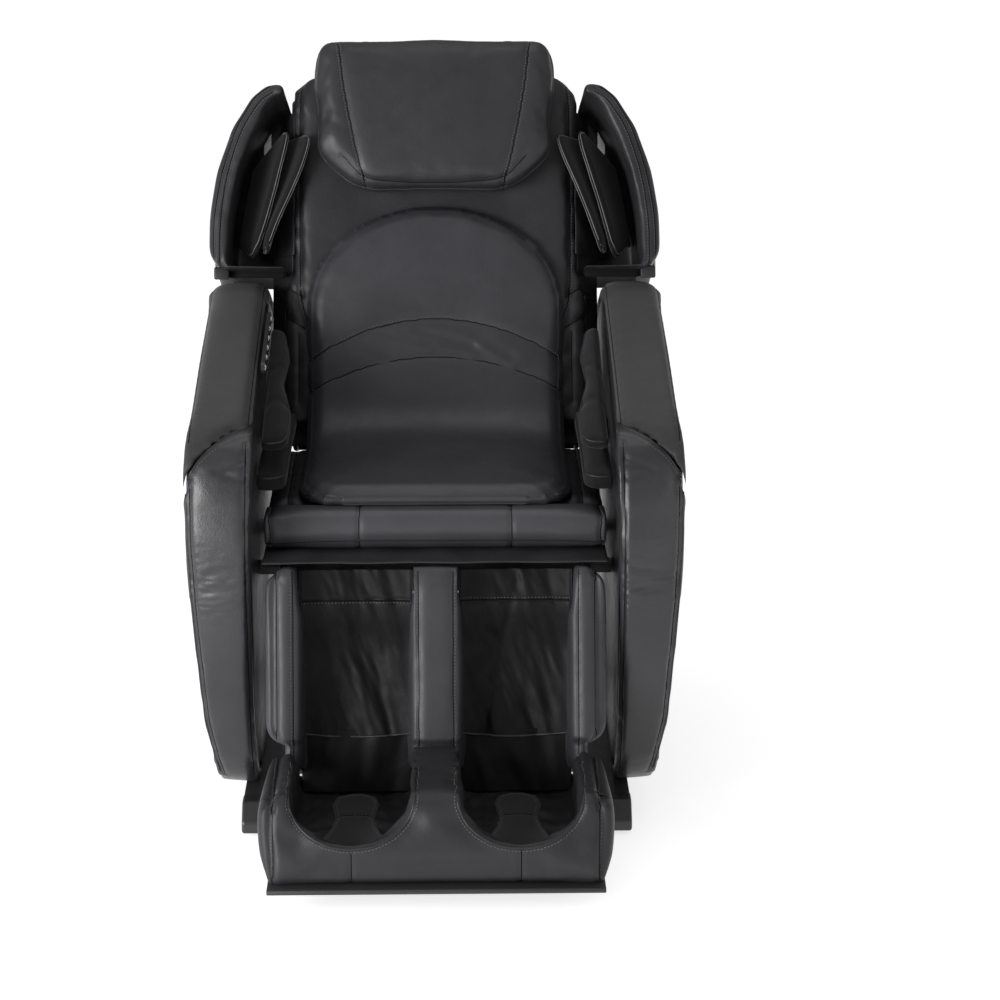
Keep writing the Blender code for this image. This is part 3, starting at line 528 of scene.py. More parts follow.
class Soft:
    """A padded piece while it is made in its own frame, with its seams, stitches and piping."""

    def __init__(self, name, obj, place, body):
        self.name, self.obj, self.place, self.body = name, obj, place, body
        self.extras = {}

    @classmethod
    def from_node(cls, name, node, place, body, voxel):
        """Starts from the CAD solid, in the piece's own frame."""
        mesh = NODES[node].data.copy()
        mesh.materials.clear()
        mesh.transform(place.inverted())
        weld(mesh)
        obj = bpy.data.objects.new(name, mesh)
        bpy.context.scene.collection.objects.link(obj)
        remesh(obj, voxel)
        made = cls(name, obj, place, body)
        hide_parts(node)
        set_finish(obj, node)
        return made

    def swell(self, shrink, cap, pressure=4.0, steps=14, soft=2, floor=None):
        """Padding under tension: start a little small, then blow up, and add detail."""
        mesh = self.obj.data
        whole = coords(mesh)
        set_coords(mesh, whole - normals(mesh) * shrink)
        inflate(self.obj, pressure, cap, steps)
        if soft:
            relax(self.obj, soft)
        points = coords(self.obj.data)
        for axis in range(3):
            small, big = points[:, axis].min(), points[:, axis].max()
            first, last = whole[:, axis].min(), whole[:, axis].max()
            if big - small < last - first:
                points[:, axis] = first + (points[:, axis] - small) * (last - first) / (big - small)
        if floor is not None:
            points[:, 2] = np.maximum(points[:, 2], floor)
        set_coords(self.obj.data, points)
        subdivide(self.obj)
        return self

    def shape(self, change):
        """Moves the points: `change` takes (points, normals) and returns new points."""
        mesh = self.obj.data
        set_coords(mesh, change(coords(mesh), normals(mesh)))
        return self

    def push(self, amount):
        """Moves each point along its normal by amount(points, normals)."""
        return self.shape(lambda p, n: p + n * amount(p, n)[:, None])

    def tree(self):
        return BVHTree.FromPolygons([v.co[:] for v in self.obj.data.vertices],
                                    [p.vertices[:] for p in self.obj.data.polygons])

    def cast(self, line, way=(0, 0, -1), reach=0.5):
        """The line dropped on the surface along `way`; points that miss are left out."""
        surface, way = self.tree(), Vector(way)
        out = []
        for p in line:
            hit = surface.ray_cast(Vector(p) - way * reach, way, 2 * reach)
            if hit[0] is not None:
                out.append(hit[0][:])
        return np.array(out)

    def lay(self, points, step=0.004):
        """A smooth line through flat points, dropped on the surface from the front."""
        return self.cast(level(smooth_line(points, step), 0))

    def nearest(self, line, surface=None):
        """The line moved to the nearest points of the surface, and the normals there."""
        surface = surface or self.tree()
        found = [surface.find_nearest(Vector(p)) for p in line]
        return np.array([f[0][:] for f in found]), np.array([f[1][:] for f in found])

    def groove(self, line, width, depth):
        """Presses a rounded channel into the surface along a line on it."""
        mesh = self.obj.data
        points, out = coords(mesh), normals(mesh)
        reach = 3 * width
        near = np.all((points > line.min(0) - reach) & (points < line.max(0) + reach), axis=1)
        if not near.any():
            return self
        gap = distance(points[near], even(line, 0.012) if len(line) > 12 else line)
        points[near] -= out[near] * (depth * np.exp(-(gap / width) ** 2))[:, None]
        set_coords(mesh, points)
        return self

    def keep(self, kind, made):
        self.extras.setdefault(kind, []).append(made)

    def seam(self, line, width=0.009, depth=0.0028, rows=(), fold=True, thread="dark_stitches", closed=False):
        """A sewn seam: a channel, a dark fold line of painted shade in it and rows of stitches beside it."""
        if len(line) < 4:
            return self
        if depth:
            self.groove(np.vstack([line, line[:1]]) if closed else line, width, depth)
        surface = self.tree()
        base, up = self.nearest(line, surface)
        if fold:
            # near-black line at the bottom of the seam: painted shade
            self.keep("folds", tube(base - up * FOLD * 0.4, up, FOLD, closed, 5))
        side = np.cross(tangents(base, closed), up)
        for offset in rows:
            spot, out = self.nearest(base + side * offset, surface)
            self.keep(thread, stitches(spot, out, closed))
        return self

    def piping(self, line, radius=PIPING, sink=0.35, closed=False):
        base, up = self.nearest(line)
        base = base - up * radius * sink
        for _ in range(2):
            inner = (np.roll(base, 1, 0) + np.roll(base, -1, 0)) / 2
            if closed:
                base = (base + inner) / 2
            else:
                base[1:-1] = (base[1:-1] + inner[1:-1]) / 2
        self.keep("piping", tube(base, up, radius, closed))
        return self

    def split(self, inside):
        """Second material on the faces where inside(centres, normals) is true."""
        mesh = self.obj.data
        count = len(mesh.polygons)
        centres, out = np.empty(count * 3, np.float32), np.empty(count * 3, np.float32)
        mesh.polygons.foreach_get("center", centres)
        mesh.polygons.foreach_get("normal", out)
        chosen = inside(centres.reshape(-1, 3), out.reshape(-1, 3))
        mesh.polygons.foreach_set("material_index", chosen.astype(np.int32))
        return self

    def done(self, *materials, fill=0.7, blend=None, threads=None):
        """Places the piece and what is sewn on it, and lets them ride on their body."""
        looks = {"folds": SEAM_SHADE, "stitches": THREAD, "piping": PIPE_LEATHER,
                 "dark_stitches": DARK_THREAD, "pale_lines": PALE_THREAD}
        looks.update(threads or {})
        paint(self.obj, *materials)
        shade_smooth(self.obj)
        parts = [self.obj]
        for kind, runs in self.extras.items():
            verts, faces, start = [], [], 0
            for v, f in runs:
                verts.append(v)
                faces += [tuple(i + start for i in face) for face in f]
                start += len(v)
            part = add(self.name + "_" + kind, np.vstack(verts), faces)
            paint(part, looks[kind])
            shade_smooth(part)
            if "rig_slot" in self.obj:
                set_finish(part, self.obj["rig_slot"])
            parts.append(part)
        for part in parts:
            points = coords(part.data)
            set_coords(part.data, self.place(points) if callable(self.place) else moved(self.place, points))
            if blend:
                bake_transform(part)
            else:
                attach(part, self.body)
        return self.obj


def rim(node, place, inset=0.0, step=0.004):
    """Loop round the top face of a CAD pad, seen from above in its own frame."""
    points = moved(place.inverted(), coords(NODES[node].data))
    top = points[points[:, 2] > points[:, 2].max() - 0.0004]
    middle = (top.max(0) + top.min(0)) / 2
    top = np.unique(top.round(5), axis=0)
    order = np.argsort(np.arctan2(top[:, 1] - middle[1], top[:, 0] - middle[0]))
    loop = even(top[order], step, True)
    if inset:
        t = tangents(loop, True)
        loop = loop + np.column_stack([-t[:, 1], t[:, 0], 0 * t[:, 0]]) * inset
    return loop


def soften(points, radius, first, second):
    """Rounds the edge where two flat sides meet; a side is (axis, limit, the way it faces)."""
    (a, end_a, way_a), (b, end_b, way_b) = first, second
    u = (points[:, a] - end_a) * way_a / radius + 1
    v = (points[:, b] - end_b) * way_b / radius + 1
    near = (u > 0) & (v > 0)
    scale = np.where(near, np.maximum(u, v) / np.maximum(np.hypot(u, v), 1e-9), 1)
    out = points.copy()
    out[:, a] = end_a + way_a * radius * (u * scale - 1)
    out[:, b] = end_b + way_b * radius * (v * scale - 1)
    out[~near] = points[~near]
    return out


def level(points, z):
    """2-D points as 3-D points at one height."""
    return np.array([(p[0], p[1], z) for p in points])


def ramp(value, start, end):
    t = np.clip((value - start) / (end - start), 0, 1)
    return t * t * (3 - 2 * t)


def ripples(points, size, stretch=(1, 1, 1), seed=0.0):
    """Folded noise between -1 and 1 at each point."""
    scale = np.array(stretch) / size
    return np.array([noise.noise(Vector(p) + Vector((seed, 0, 0))) for p in points * scale])


def wrinkled(points, mask, *waves, least=0.01):
    """Height of the folds where the mask is above `least`; a wave is (height, size, stretch, seed)."""
    out = np.zeros(len(points))
    pick = mask > least
    for height, *wave in waves:
        out[pick] += mask[pick] * height * ripples(points[pick], *wave)
    return out


# ---------------------------------------------------------------- oval pad over seat and back

def make_oval_pad():
    """One thin pad that runs from the seat's front edge up the back, bent where they meet."""
    seat_low, seat_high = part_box("seat_pad")
    back_low, back_high = local_box("back_pad", BACK)
    half = back_high[0]
    up = np.array(BACK.col[1])[1:3]
    out = np.array(BACK.col[2])[1:3]
    hinge = np.array(BACK.translation)[1:3]
    corner_s = (seat_low.z - hinge[1] - back_low[2] * out[1]) / up[1]
    corner = hinge + up * corner_s + out * back_low[2]
    turn = math.acos(up[0])
    cut = PAD_BEND * math.tan(turn / 2)
    first = corner[0] - cut - seat_low.y
    second = first + PAD_BEND * turn
    centre = np.array([corner[0] - cut, corner[1] + PAD_BEND])
    start_up = corner_s + cut

    def along_back(s):
        return second + s - start_up

    def place(points):
        a, h = points[:, 1], points[:, 2]
        angle = np.clip((a - first) / PAD_BEND, 0, turn)
        ty, tz = np.cos(angle), np.sin(angle)
        y = centre[0] + PAD_BEND * np.sin(angle) + ty * (np.minimum(a - first, 0) + np.maximum(a - second, 0))
        z = centre[1] - PAD_BEND * np.cos(angle) + tz * (np.minimum(a - first, 0) + np.maximum(a - second, 0))
        return np.column_stack([points[:, 0], y - tz * h, z + ty * h])

    top = along_back(back_high[1])
    arch = along_back(0.270)
    half *= 1.035
    left = [(half * math.cos(t), arch + (top - arch) * math.sin(t)) for t in np.linspace(0, math.pi, 33)]
    corner_r = 0.070
    round_left = [(-half + corner_r - corner_r * math.cos(t), corner_r - corner_r * math.sin(t))
                  for t in np.linspace(0, math.pi / 2, 9)]
    outline = left + round_left + [(-u, v) for u, v in reversed(round_left)]
    obj = remesh(prism("oval_pad", level(outline, 0.0).tolist(), level(outline, PAD_THICK).tolist()), 0.0065)
    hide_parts("seat_pad", "back_pad")
    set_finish(obj, "seat_pad")
    pad = Soft("oval_pad", obj, place, None)
    pad.swell(0.0030, 0.0070, 5.0, 16, soft=3, floor=0.0005)
    edge = even(level(outline, 0.0), 0.012, True)

    def crown(p, n):
        """Domed towards the middle, rounded off at the edge."""
        inside = distance(p * (1, 1, 0), np.vstack([edge, edge[:1]]))
        dome = 0.0075 * ramp(inside, 0, 0.11) - 0.0045 * (1 - ramp(inside, 0, 0.028))
        return np.where(n[:, 2] > 0.1, dome, 0)

    pad.push(crown)

    def crumple(p, n):
        """Slight folds in the band between the two arcs."""
        middle = along_back(0.221) - 0.055 * (p[:, 0] / 0.2) ** 2
        band = np.exp(-((p[:, 1] - middle) / 0.020) ** 2) * (n[:, 2] > 0.3)
        return wrinkled(p, band, (0.0022, 0.050, (0.6, 1.6, 1), 8.0), least=0.02)

    pad.push(crumple)
    for centre_s, drop, row in ((0.252, 0.060, 1), (0.189, 0.050, -1)):
        across = np.linspace(-half + 0.003, half - 0.003, 60)
        arc = [(x, along_back(centre_s - drop * (x / 0.2) ** 2)) for x in across]
        line = pad.cast(level(arc, 0))
        pad.groove(line, 0.017, 0.0030)
        pad.seam(line, 0.0055, 0.0026, rows=(-ROW * row,))
    for a, b, deep in (((-0.075, 0.236), (-0.010, 0.215), 0.0016), ((-0.030, 0.233), (0.062, 0.208), 0.0020),
                       ((0.070, 0.226), (0.125, 0.190), 0.0016), ((-0.120, 0.213), (-0.080, 0.196), 0.0010)):
        fold = [(a[0], along_back(a[1])), (b[0], along_back(b[1]))]
        pad.groove(pad.lay(fold), 0.009, deep)
        pad.groove(pad.lay([(u, v - 0.015) for u, v in fold]), 0.008, -deep * 0.8)
    loop = even(np.array(outline), 0.004, True)
    pad.seam(pad.cast(level(loop * (1 - 0.010 / half, 1), 0)), 0.004, 0.0008, fold=False)
    pad.piping(level(loop, 0.0075), 0.0019, 0.3, closed=True)
    start = (0, seat_low.y + 0.62 * (corner[0] - seat_low.y), seat_low.z)
    finish = hinge + up * 0.20 + out * back_low[2]
    pad.done(LEATHER, fill=0.8, blend=("base", "backrest", start, (0, *finish)))


# ---------------------------------------------------------------- back and pillow

def make_pillow():
    low, high = local_box("head_pillow", PILLOW)
    pad = Soft.from_node("head_pillow_soft", "head_pillow", PILLOW, "pillow", 0.0065)
    pad.swell(0.0030, 0.0085, 5.0, 16, soft=3)

    def crown(p, n):
        across = 1 - np.clip(np.abs(p[:, 0]) / high[0], 0, 1) ** 2.2
        tall = 1 - np.clip(np.abs(p[:, 1] - (low[1] + high[1]) / 2) / ((high[1] - low[1]) / 2), 0, 1) ** 2.4
        return np.where(n[:, 2] > 0, 0.010 * across * tall - 0.002, 0)

    pad.push(crown)

    def belly(p, n):
        """Fuller lower corners."""
        low_part = np.exp(-((p[:, 1] + 0.190) / 0.050) ** 2)
        out = p.copy()
        out[:, 0] *= 1 + 0.105 * low_part
        return out

    pad.shape(belly)
    for side in (-1, 1):
        points = [(0.160, 0.030), (0.157, 0.004), (0.147, -0.075), (0.130, -0.165), (0.113, -0.238)]
        line = pad.lay([(u * side, v) for u, v in points])
        pad.groove(line, 0.014, 0.0020)
        pad.seam(line, 0.0045, 0.0020, rows=(-ROW, ROW))
        for a, b, deep in (((0.165, -0.020), (0.188, -0.060), 0.0016),
                           ((0.150, -0.135), (0.178, -0.120), 0.0014)):
            pad.groove(pad.lay([(a[0] * side, a[1]), (b[0] * side, b[1])]), 0.008, deep)
    hem = [(-0.150, -0.185), (-0.112, -0.219), (-0.050, -0.2265), (0, -0.2275), (0.050, -0.2265),
           (0.112, -0.219), (0.150, -0.185)]
    pad.seam(pad.lay(hem), 0.005, 0.0016)
    loop = belly(rim("head_pillow", PILLOW, -0.012), None)
    loop[:, 2] = (low[2] + high[2]) / 2
    pad.piping(loop, 0.0022, 0.2, closed=True)
    pad.done(PILLOW_LEATHER, fill=0.85)


def drop_corners(points, drop):
    """The top of the back falls away towards its outer corners."""
    out = points.copy()
    out[:, 1] -= drop * ramp(np.abs(points[:, 0]), 0.130, 0.205) * ramp(points[:, 1], 0.58, 0.68)
    return out


def make_back_shell():
    """The moulded back, with the same rounded top as the cushion."""
    mesh = NODES["back_shell"].data.copy()
    set_coords(mesh, moved(BACK, drop_corners(moved(BACK.inverted(), coords(mesh)), 0.050)))
    obj = bpy.data.objects.new("back_shell_panel", mesh)
    bpy.context.scene.collection.objects.link(obj)
    paint(obj, SHELL_PLASTIC)
    shade_smooth(obj, 35)
    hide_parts("back_shell")
    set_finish(obj, "back_shell")
    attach(obj, "backrest")


def make_back_cushion():
    pad = Soft.from_node("back_cushion_soft", "back_cushion", BACK, "backrest", 0.0075)
    pad.swell(0.0025, 0.0065, 4.0, 14, soft=3, floor=0.0005)

    def sides(p, n):
        """Wrinkled bolsters beside the middle panel, and a hollow under the pillow."""
        bolster = ramp(np.abs(p[:, 0]), 0.205, 0.228) * (n[:, 2] > -0.2)
        out = wrinkled(p, bolster, (0.0035, 0.030, (0.7, 1.5, 0.7), 3.0))
        hollow = np.exp(-((np.abs(p[:, 0]) - 0.115) / 0.045) ** 2 - ((p[:, 1] - 0.445) / 0.05) ** 2)
        return out - 0.004 * hollow * (n[:, 2] > 0.5)

    pad.push(sides)
    pad.shape(lambda p, n: drop_corners(p, 0.014))
    for side in (-1, 1):
        points = [(0.222, 0.650), (0.2255, 0.600), (0.2265, 0.420),
                  (0.2240, 0.310), (0.213, 0.262), (0.196, 0.215)]
        line = pad.lay([(u * side, v) for u, v in points])
        pad.groove(line, 0.012, 0.0035)
        pad.seam(line, 0.005, 0.0025, rows=(-ROW * side,))
        for a, b in (((0.2215, 0.297), (0.250, 0.314)), ((0.214, 0.242), (0.250, 0.262))):
            pad.seam(pad.lay([(a[0] * side, a[1]), (b[0] * side, b[1])], 0.003), 0.006, 0.0030)
        pad.seam(pad.lay([(0.225 * side, 0.235), (0.226 * side, 0.120)]), 0.007, 0.0030)
    pad.done(BACK_LEATHER, fill=0.7)


def make_wings():
    """Wrinkled cloth from the back cushion's side down to the root of the inner shoulder flap."""
    low, high, cushion = 0.366, 0.606, 0.2335
    for side, word in SIDES:
        hinge = JOINTS["shoulder_flap_inner_" + word + "_swing"]
        middle = moved(BACK.inverted(), [hinge["pos_m"]])[0]
        along = np.array(BACK.to_3x3().inverted() @ Vector(hinge["axis"])) * side

        def point(t, up):
            s = low + (high - low) * up
            root = abs(middle[0] + along[0] * (s - middle[1]) / along[1]) - 0.0095
            x = cushion + (root - cushion) * t
            wave = math.sin(s * 95 + t * 3.2) * 0.5 + noise.noise(Vector((x * 22, s * 30 - t, side)))
            z = 0.047 - 0.064 * t ** 1.25 + 0.0050 * wave * math.sin(math.pi * min(1.0, t * 1.15))
            return (x * side, s, z)

        obj = subdivide(thicken(grid("wing_lining_" + word, 14, 46, point, side < 0), 0.003))
        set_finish(obj, "back_cushion")
        Soft("wing_lining_" + word, obj, BACK, "backrest").done(BACK_LEATHER, fill=0.3)


def make_back_gussets():
    """Wrinkled leather beside the back cushion, between it and the arms."""
    low, high, arm = 0.060, 0.372, 0.2718
    for side, word in SIDES:
        def point(t, up):
            s = low + (high - low) * up
            root = 0.236 if s > 0.30 else 0.249
            x = root + (arm - root) * t
            wave = noise.noise(Vector((x * 18, s * 34, 6.0 + side))) * math.sin(math.pi * t)
            return (x * side, s, 0.040 - 0.034 * t + 0.0060 * wave)

        obj = subdivide(thicken(grid("back_gusset_" + word, 10, 60, point, side < 0), 0.003))
        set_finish(obj, "back_cushion")
        Soft("back_gusset_" + word, obj, BACK, "backrest").done(BACK_LEATHER, fill=0.3)


# ---------------------------------------------------------------- shoulders

POD_EDGE = [(0.370, 0.335), (0.366, 0.420), (0.352, 0.505), (0.328, 0.587), (0.298, 0.640), (0.272, 0.661)]


def lower_top(points):
    """A rounder pod, whose hollow runs down almost to its lower end."""
    out = points.copy()
    v = points[:, 1]
    out[:, 1] -= 0.021 * ramp(v, 0.44, 0.64)
    inner = 1 - ramp(np.abs(points[:, 0]), 0.338, 0.350)
    deeper = np.interp(v, [0.335, 0.362, 0.450], [0.3335, 0.3390, 0.450])
    out[:, 1] += np.where(v < 0.45, inner * (deeper - v), 0)
    return out


def pod_line(side, grow):
    """Line on a pod's front rim, `grow` in from the outer side."""
    points = []
    for i, (u, v) in enumerate(POD_EDGE):
        fall = i / (len(POD_EDGE) - 1)
        lift = 0.004 if i == 0 else 0
        points.append(((u - grow * (1 - 0.55 * fall)) * side, v - grow * fall * 0.85 + lift))
    return lower_top(level(smooth_line(points), 0))[:, :2]


def make_pods():
    for side, word in SIDES:
        pad = Soft.from_node("shoulder_pod_soft_" + word, "shoulder_pod_" + word, BACK, "backrest", 0.0065)
        pad.swell(0.0025, 0.0055, 4.0, 12, soft=14)
        pad.shape(lambda p, n: lower_top(p))

        def puff(p, n):
            """Fuller in the middle of the outer side, creased near the floor of the pod."""
            outer = np.clip(n[:, 0] * side, 0, 1)
            tall = np.exp(-((p[:, 1] - 0.50) / 0.12) ** 2)
            return 0.0040 * outer * tall

        pad.push(puff)
        for grow in (0.0075, 0.0205):
            line = pad.cast(level(pod_line(side, grow), 0))
            pad.groove(line, 0.008, 0.0016)
            pad.seam(line, 0.004, 0.0010, rows=(0.0,), fold=False)
            # a near-black line beside the rim seam: painted shade
            pad.keep("folds", tube(*self_offset(pad, line, 0.0022 * side), FOLD * 0.8, False, 5))
        outside = [(0.395 * side, v, -0.045) for v in np.linspace(0.345, 0.640, 60)]
        pad.seam(pad.cast(np.array(outside), (-side, 0, 0)), 0.006, 0.0024, rows=(ROW,))

        def hollow(c, n):
            inside = (c[:, 2] < 0.060) & (n[:, 2] < 0.97)
            facing = (n[:, 0] * side < 0.3) & (c[:, 0] * side < 0.352) & (c[:, 1] < 0.640)
            ledge = (c[:, 1] < 0.372) & (c[:, 0] * side < 0.343) & (c[:, 2] > -0.03)
            return inside & facing & (c[:, 2] > -0.0375) & (c[:, 1] > 0.352) | ledge | (
                (np.abs(c[:, 2] + 0.035) < 0.006) & (n[:, 2] > 0.6) & (c[:, 0] * side < 0.345))

        # the hollow's faces take the near-black lining: dark cloth and painted shade in the recess
        pad.split(hollow)
        pad.done(POD_LEATHER, LINING_AND_SHADE, fill=0.6)
        make_pod_skirt(side, word)


def make_pod_skirt(side, word):
    """Closes the pod down to just above the arm, and clears the arm as the back reclines."""
    rear, top, sweep = -0.068, 0.3395, 0.3320
    # the lining piece is near-black: dark cloth and painted shade under the pod
    for name, inner, outer, front, look in (("pod_rim_", 0.3380, 0.3625, 0.0960, POD_LEATHER),
                                            ("pod_lining_", 0.2480, 0.3375, 0.0800, LINING_AND_SHADE)):
        section = [(math.sqrt(sweep ** 2 - n * n), n) for n in np.linspace(rear, front, 16)]
        section += [(top, front), (top, rear)]
        ends = [[(x * side, s, n) for s, n in section] for x in (inner, outer)]
        obj = round_edges(prism(name + word, *ends, side > 0), 0.0030, 3)
        obj.data.transform(BACK)
        paint(obj, look)
        shade_smooth(obj, 45)
        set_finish(obj, "shoulder_pod_" + word)
        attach(obj, "backrest")


def self_offset(pad, line, offset):
    base, up = pad.nearest(line)
    side = np.cross(tangents(base), up)
    return pad.nearest(base + side * offset)


# for each flap: where its waves start, and how far its free edge leans at the top and at the bottom
FLAP_SHAPES = {"inner": (0.7, ((-0.030, -0.024), (0.013, -0.040))),
               "outer": (2.1, ((-0.029, 0.030), (0.0, -0.040)))}


def make_flaps():
    for side, word in SIDES:
        for which in FLAP_SHAPES:
            node = "shoulder_flap_" + which + "_" + word
            hinge = JOINTS[node + "_swing"]
            origin, along = Vector(hinge["pos_m"]), Vector(hinge["axis"]) * side
            low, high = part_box(node)
            out = (low + high) / 2 - origin
            out = (out - along * out.dot(along)).normalized()
            place = axes(origin, along, out, along.cross(out))
            small, big = local_box(node, place)
            pad = Soft.from_node(node + "_soft", node, place, node, 0.0042)
            pad.swell(0.0008, 0.0022, 3.0, 8, soft=2)
            phase, lean = FLAP_SHAPES[which]
            to_back = np.array(BACK.inverted() @ place)

            def wave(p, n):
                """The free edge runs from the middle at the top to the outside at the bottom."""
                free = ramp(p[:, 1], 0.004, big[1])
                q = p.copy()
                q[:, 2] += 0.0012 * np.sin(p[:, 0] * 40 + phase) * free
                back = q @ to_back[:3, :3].T + to_back[:3, 3]
                down = ramp(-back[:, 1], -middle - 0.10, -middle + 0.10)
                back[:, 1] -= 0.030 * ramp(back[:, 1], middle + 0.04, middle + 0.10) * (1 - free)
                for axis, way in ((0, side), (1, 1)):
                    back[:, axis] += way * free * (lean[0][axis] * (1 - down) + lean[1][axis] * down)
                return moved(Matrix(to_back).inverted(), back)

            middle = moved(BACK.inverted(), [hinge["pos_m"]])[0][1]
            pad.shape(wave)
            first, last, top = small[0], big[0], big[1] - 0.002
            edge = [(first + 0.006, 0.020), (first + 0.010, top - 0.045), (first + 0.020, top - 0.018),
                    (-0.02, top - 0.008), (last - 0.030, top), (last - 0.008, top - 0.014),
                    (last - 0.003, 0.020)]
            line = smooth_line(edge)
            surface = pad.tree()
            for up in (0.0035, -0.0035):
                spot, face = pad.nearest(wave(level(line, up), None), surface)
                pad.keep("pale_lines", tube(spot, face, 0.00055, False, 5))
            pad.done(FLAP_CLOTH, fill=0.4)


# ---------------------------------------------------------------- arms

def taper(z):
    return np.interp(z, *zip(*ARM_TAPER))


def on_front(pad, side, points):
    """(across, up) points dropped on the front of an arm."""
    return pad.cast(np.array([(x * side, -1.0, z) for x, z in points]), (0, 1, 0), 2.0)


def outer_edge(inset, top, bottom):
    """Points of a line beside the outer side of an arm, which narrows towards the ground."""
    return [(ARM_OUT - taper(z) - inset, z) for z in np.linspace(top, bottom, 90)]


def arm_seam(drop):
    """The arched seam between an arm's top and its front, `drop` below it."""
    arch = ARM_SEAM_IN - ARM_SEAM_OUT
    return [(ARM_IN + (ARM_OUT - ARM_IN) * t, ARM_SEAM_IN - arch * (1 - math.sqrt(1 - t * t)) - drop)
            for t in np.linspace(0.0, 1.0, 60)]


def roll_back(side):
    """An arm's front falls back and narrows towards its outer side."""
    def change(p, n):
        across = np.clip((p[:, 0] * side - ARM_IN) / (ARM_OUT - ARM_IN), 0, 1)
        low = 1 - ramp(p[:, 2], 0.50, 0.66)
        dome = np.abs(across * 2 - 1) ** 3.2 * np.where(across < 0.5, 0.55, 1.0)
        crest = ramp(p[:, 1], 0.02, 0.22) * ramp(p[:, 2], 0.60, 0.68)
        p = p.copy()
        p[:, 1] += ARM_ROLL * across ** 2 * low
        p[:, 2] += crest * (0.0045 - 0.0190 * dome)
        return p
    return change


def make_arms():
    for side, word in SIDES:
        top = Soft.from_node("arm_pad_soft_" + word, "arm_pad_" + word, ROW_FRAME, "base", 0.0065)
        top.swell(0.0025, 0.0055, 4.0, 12, soft=4)
        top.shape(roll_back(side))
        for inset in (0.0085, 0.0955):
            over = [((ARM_IN + inset) * side, y, 1.2) for y in np.linspace(-0.215, 0.508, 190)]
            line = top.cast(np.array(over), (0, 0, -1), 1.5)
            top.seam(line, 0.0055, 0.0014, rows=(ROW * side * (1 if inset > 0.05 else -1),))
        top.done(ARM_TOP, fill=0.7)

        front = Soft.from_node("arm_front_soft_" + word, "arm_front_pad_" + word, ROW_FRAME, "base", 0.0060)
        front.swell(0.0025, 0.0060, 4.5, 14, soft=4)
        front.shape(roll_back(side))

        def creases(p, n):
            """Fine creases at knee height, slow waves elsewhere."""
            ahead = 1.0 * ((n[:, 1] < -0.3) & (p[:, 2] > 0.10))
            knee = ahead * np.exp(-((p[:, 2] - 0.400) / 0.055) ** 2)
            fine = wrinkled(p, knee, (0.0010, 0.010, (0.45, 1, 1.5), 9.0), least=0.0)
            return fine + wrinkled(p, ahead, (0.0012, 0.055, (1, 1, 0.6), 5.0))

        front.push(creases)
        inner = [(ARM_IN + 0.0100, z) for z in np.linspace(0.606, 0.070, 90)]
        front.seam(on_front(front, side, inner), 0.005, 0.0026)
        front.seam(on_front(front, side, outer_edge(0.0095, 0.545, 0.075)), 0.0045, 0.0022, rows=(ROW * side,))
        front.piping(on_front(front, side, outer_edge(0.0045, 0.540, 0.080)), 0.0022, 0.3)
        front.seam(on_front(front, side, arm_seam(0.0065)), 0.004, 0.0006, rows=(0.0,), fold=False)
        front.piping(on_front(front, side, arm_seam(0.0018)), 0.0020, 0.2)
        for a, b, deep in (((0.286, 0.585), (0.325, 0.572), 0.0022), ((0.284, 0.560), (0.312, 0.566), 0.0016),
                           ((0.290, 0.430), (0.345, 0.415), 0.0010),
                           ((0.300, 0.395), (0.350, 0.388), 0.0009)):
            front.groove(on_front(front, side, smooth_line([a, b])), 0.006, deep)
        front.done(ARM_FRONT, fill=0.8)
        make_arm_side(side, word)


def make_arm_side(side, word):
    """The arm's own body: a leather-covered panel, fuller in the middle, with one sewn line."""
    low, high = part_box("arm_shell_" + word)
    middle, half = (low + high) / 2, (high - low) / 2
    pad = Soft.from_node("arm_side_" + word, "arm_shell_" + word, ROW_FRAME, "base", 0.0042)
    relax(pad.obj, 4)

    def dome(p, n):
        r = np.hypot((p[:, 1] - middle.y) / half.y, (p[:, 2] - middle.z) / half.z)
        out = np.clip(n[:, 0] * side, 0, 1)
        return out * 0.0065 * (1 - ramp(r, 0.15, 0.95)) - 0.0004

    pad.push(dome)
    scale, squareness = 0.80, 0.82
    ring = []
    for t in np.linspace(0, 2 * math.pi, 160, endpoint=False):
        c, s = math.cos(t), math.sin(t)
        y = middle.y + half.y * scale * math.copysign(abs(c) ** squareness, c)
        z = middle.z + half.z * scale * math.copysign(abs(s) ** squareness, s)
        ring.append((1.0 * side, y, z))
    line = pad.cast(np.array(ring), (-side, 0, 0), 1.2)
    pad.seam(line, 0.010, 0.0026, rows=(ROW, -ROW), closed=True)
    pad.done(ARM_SIDE, fill=0.5)


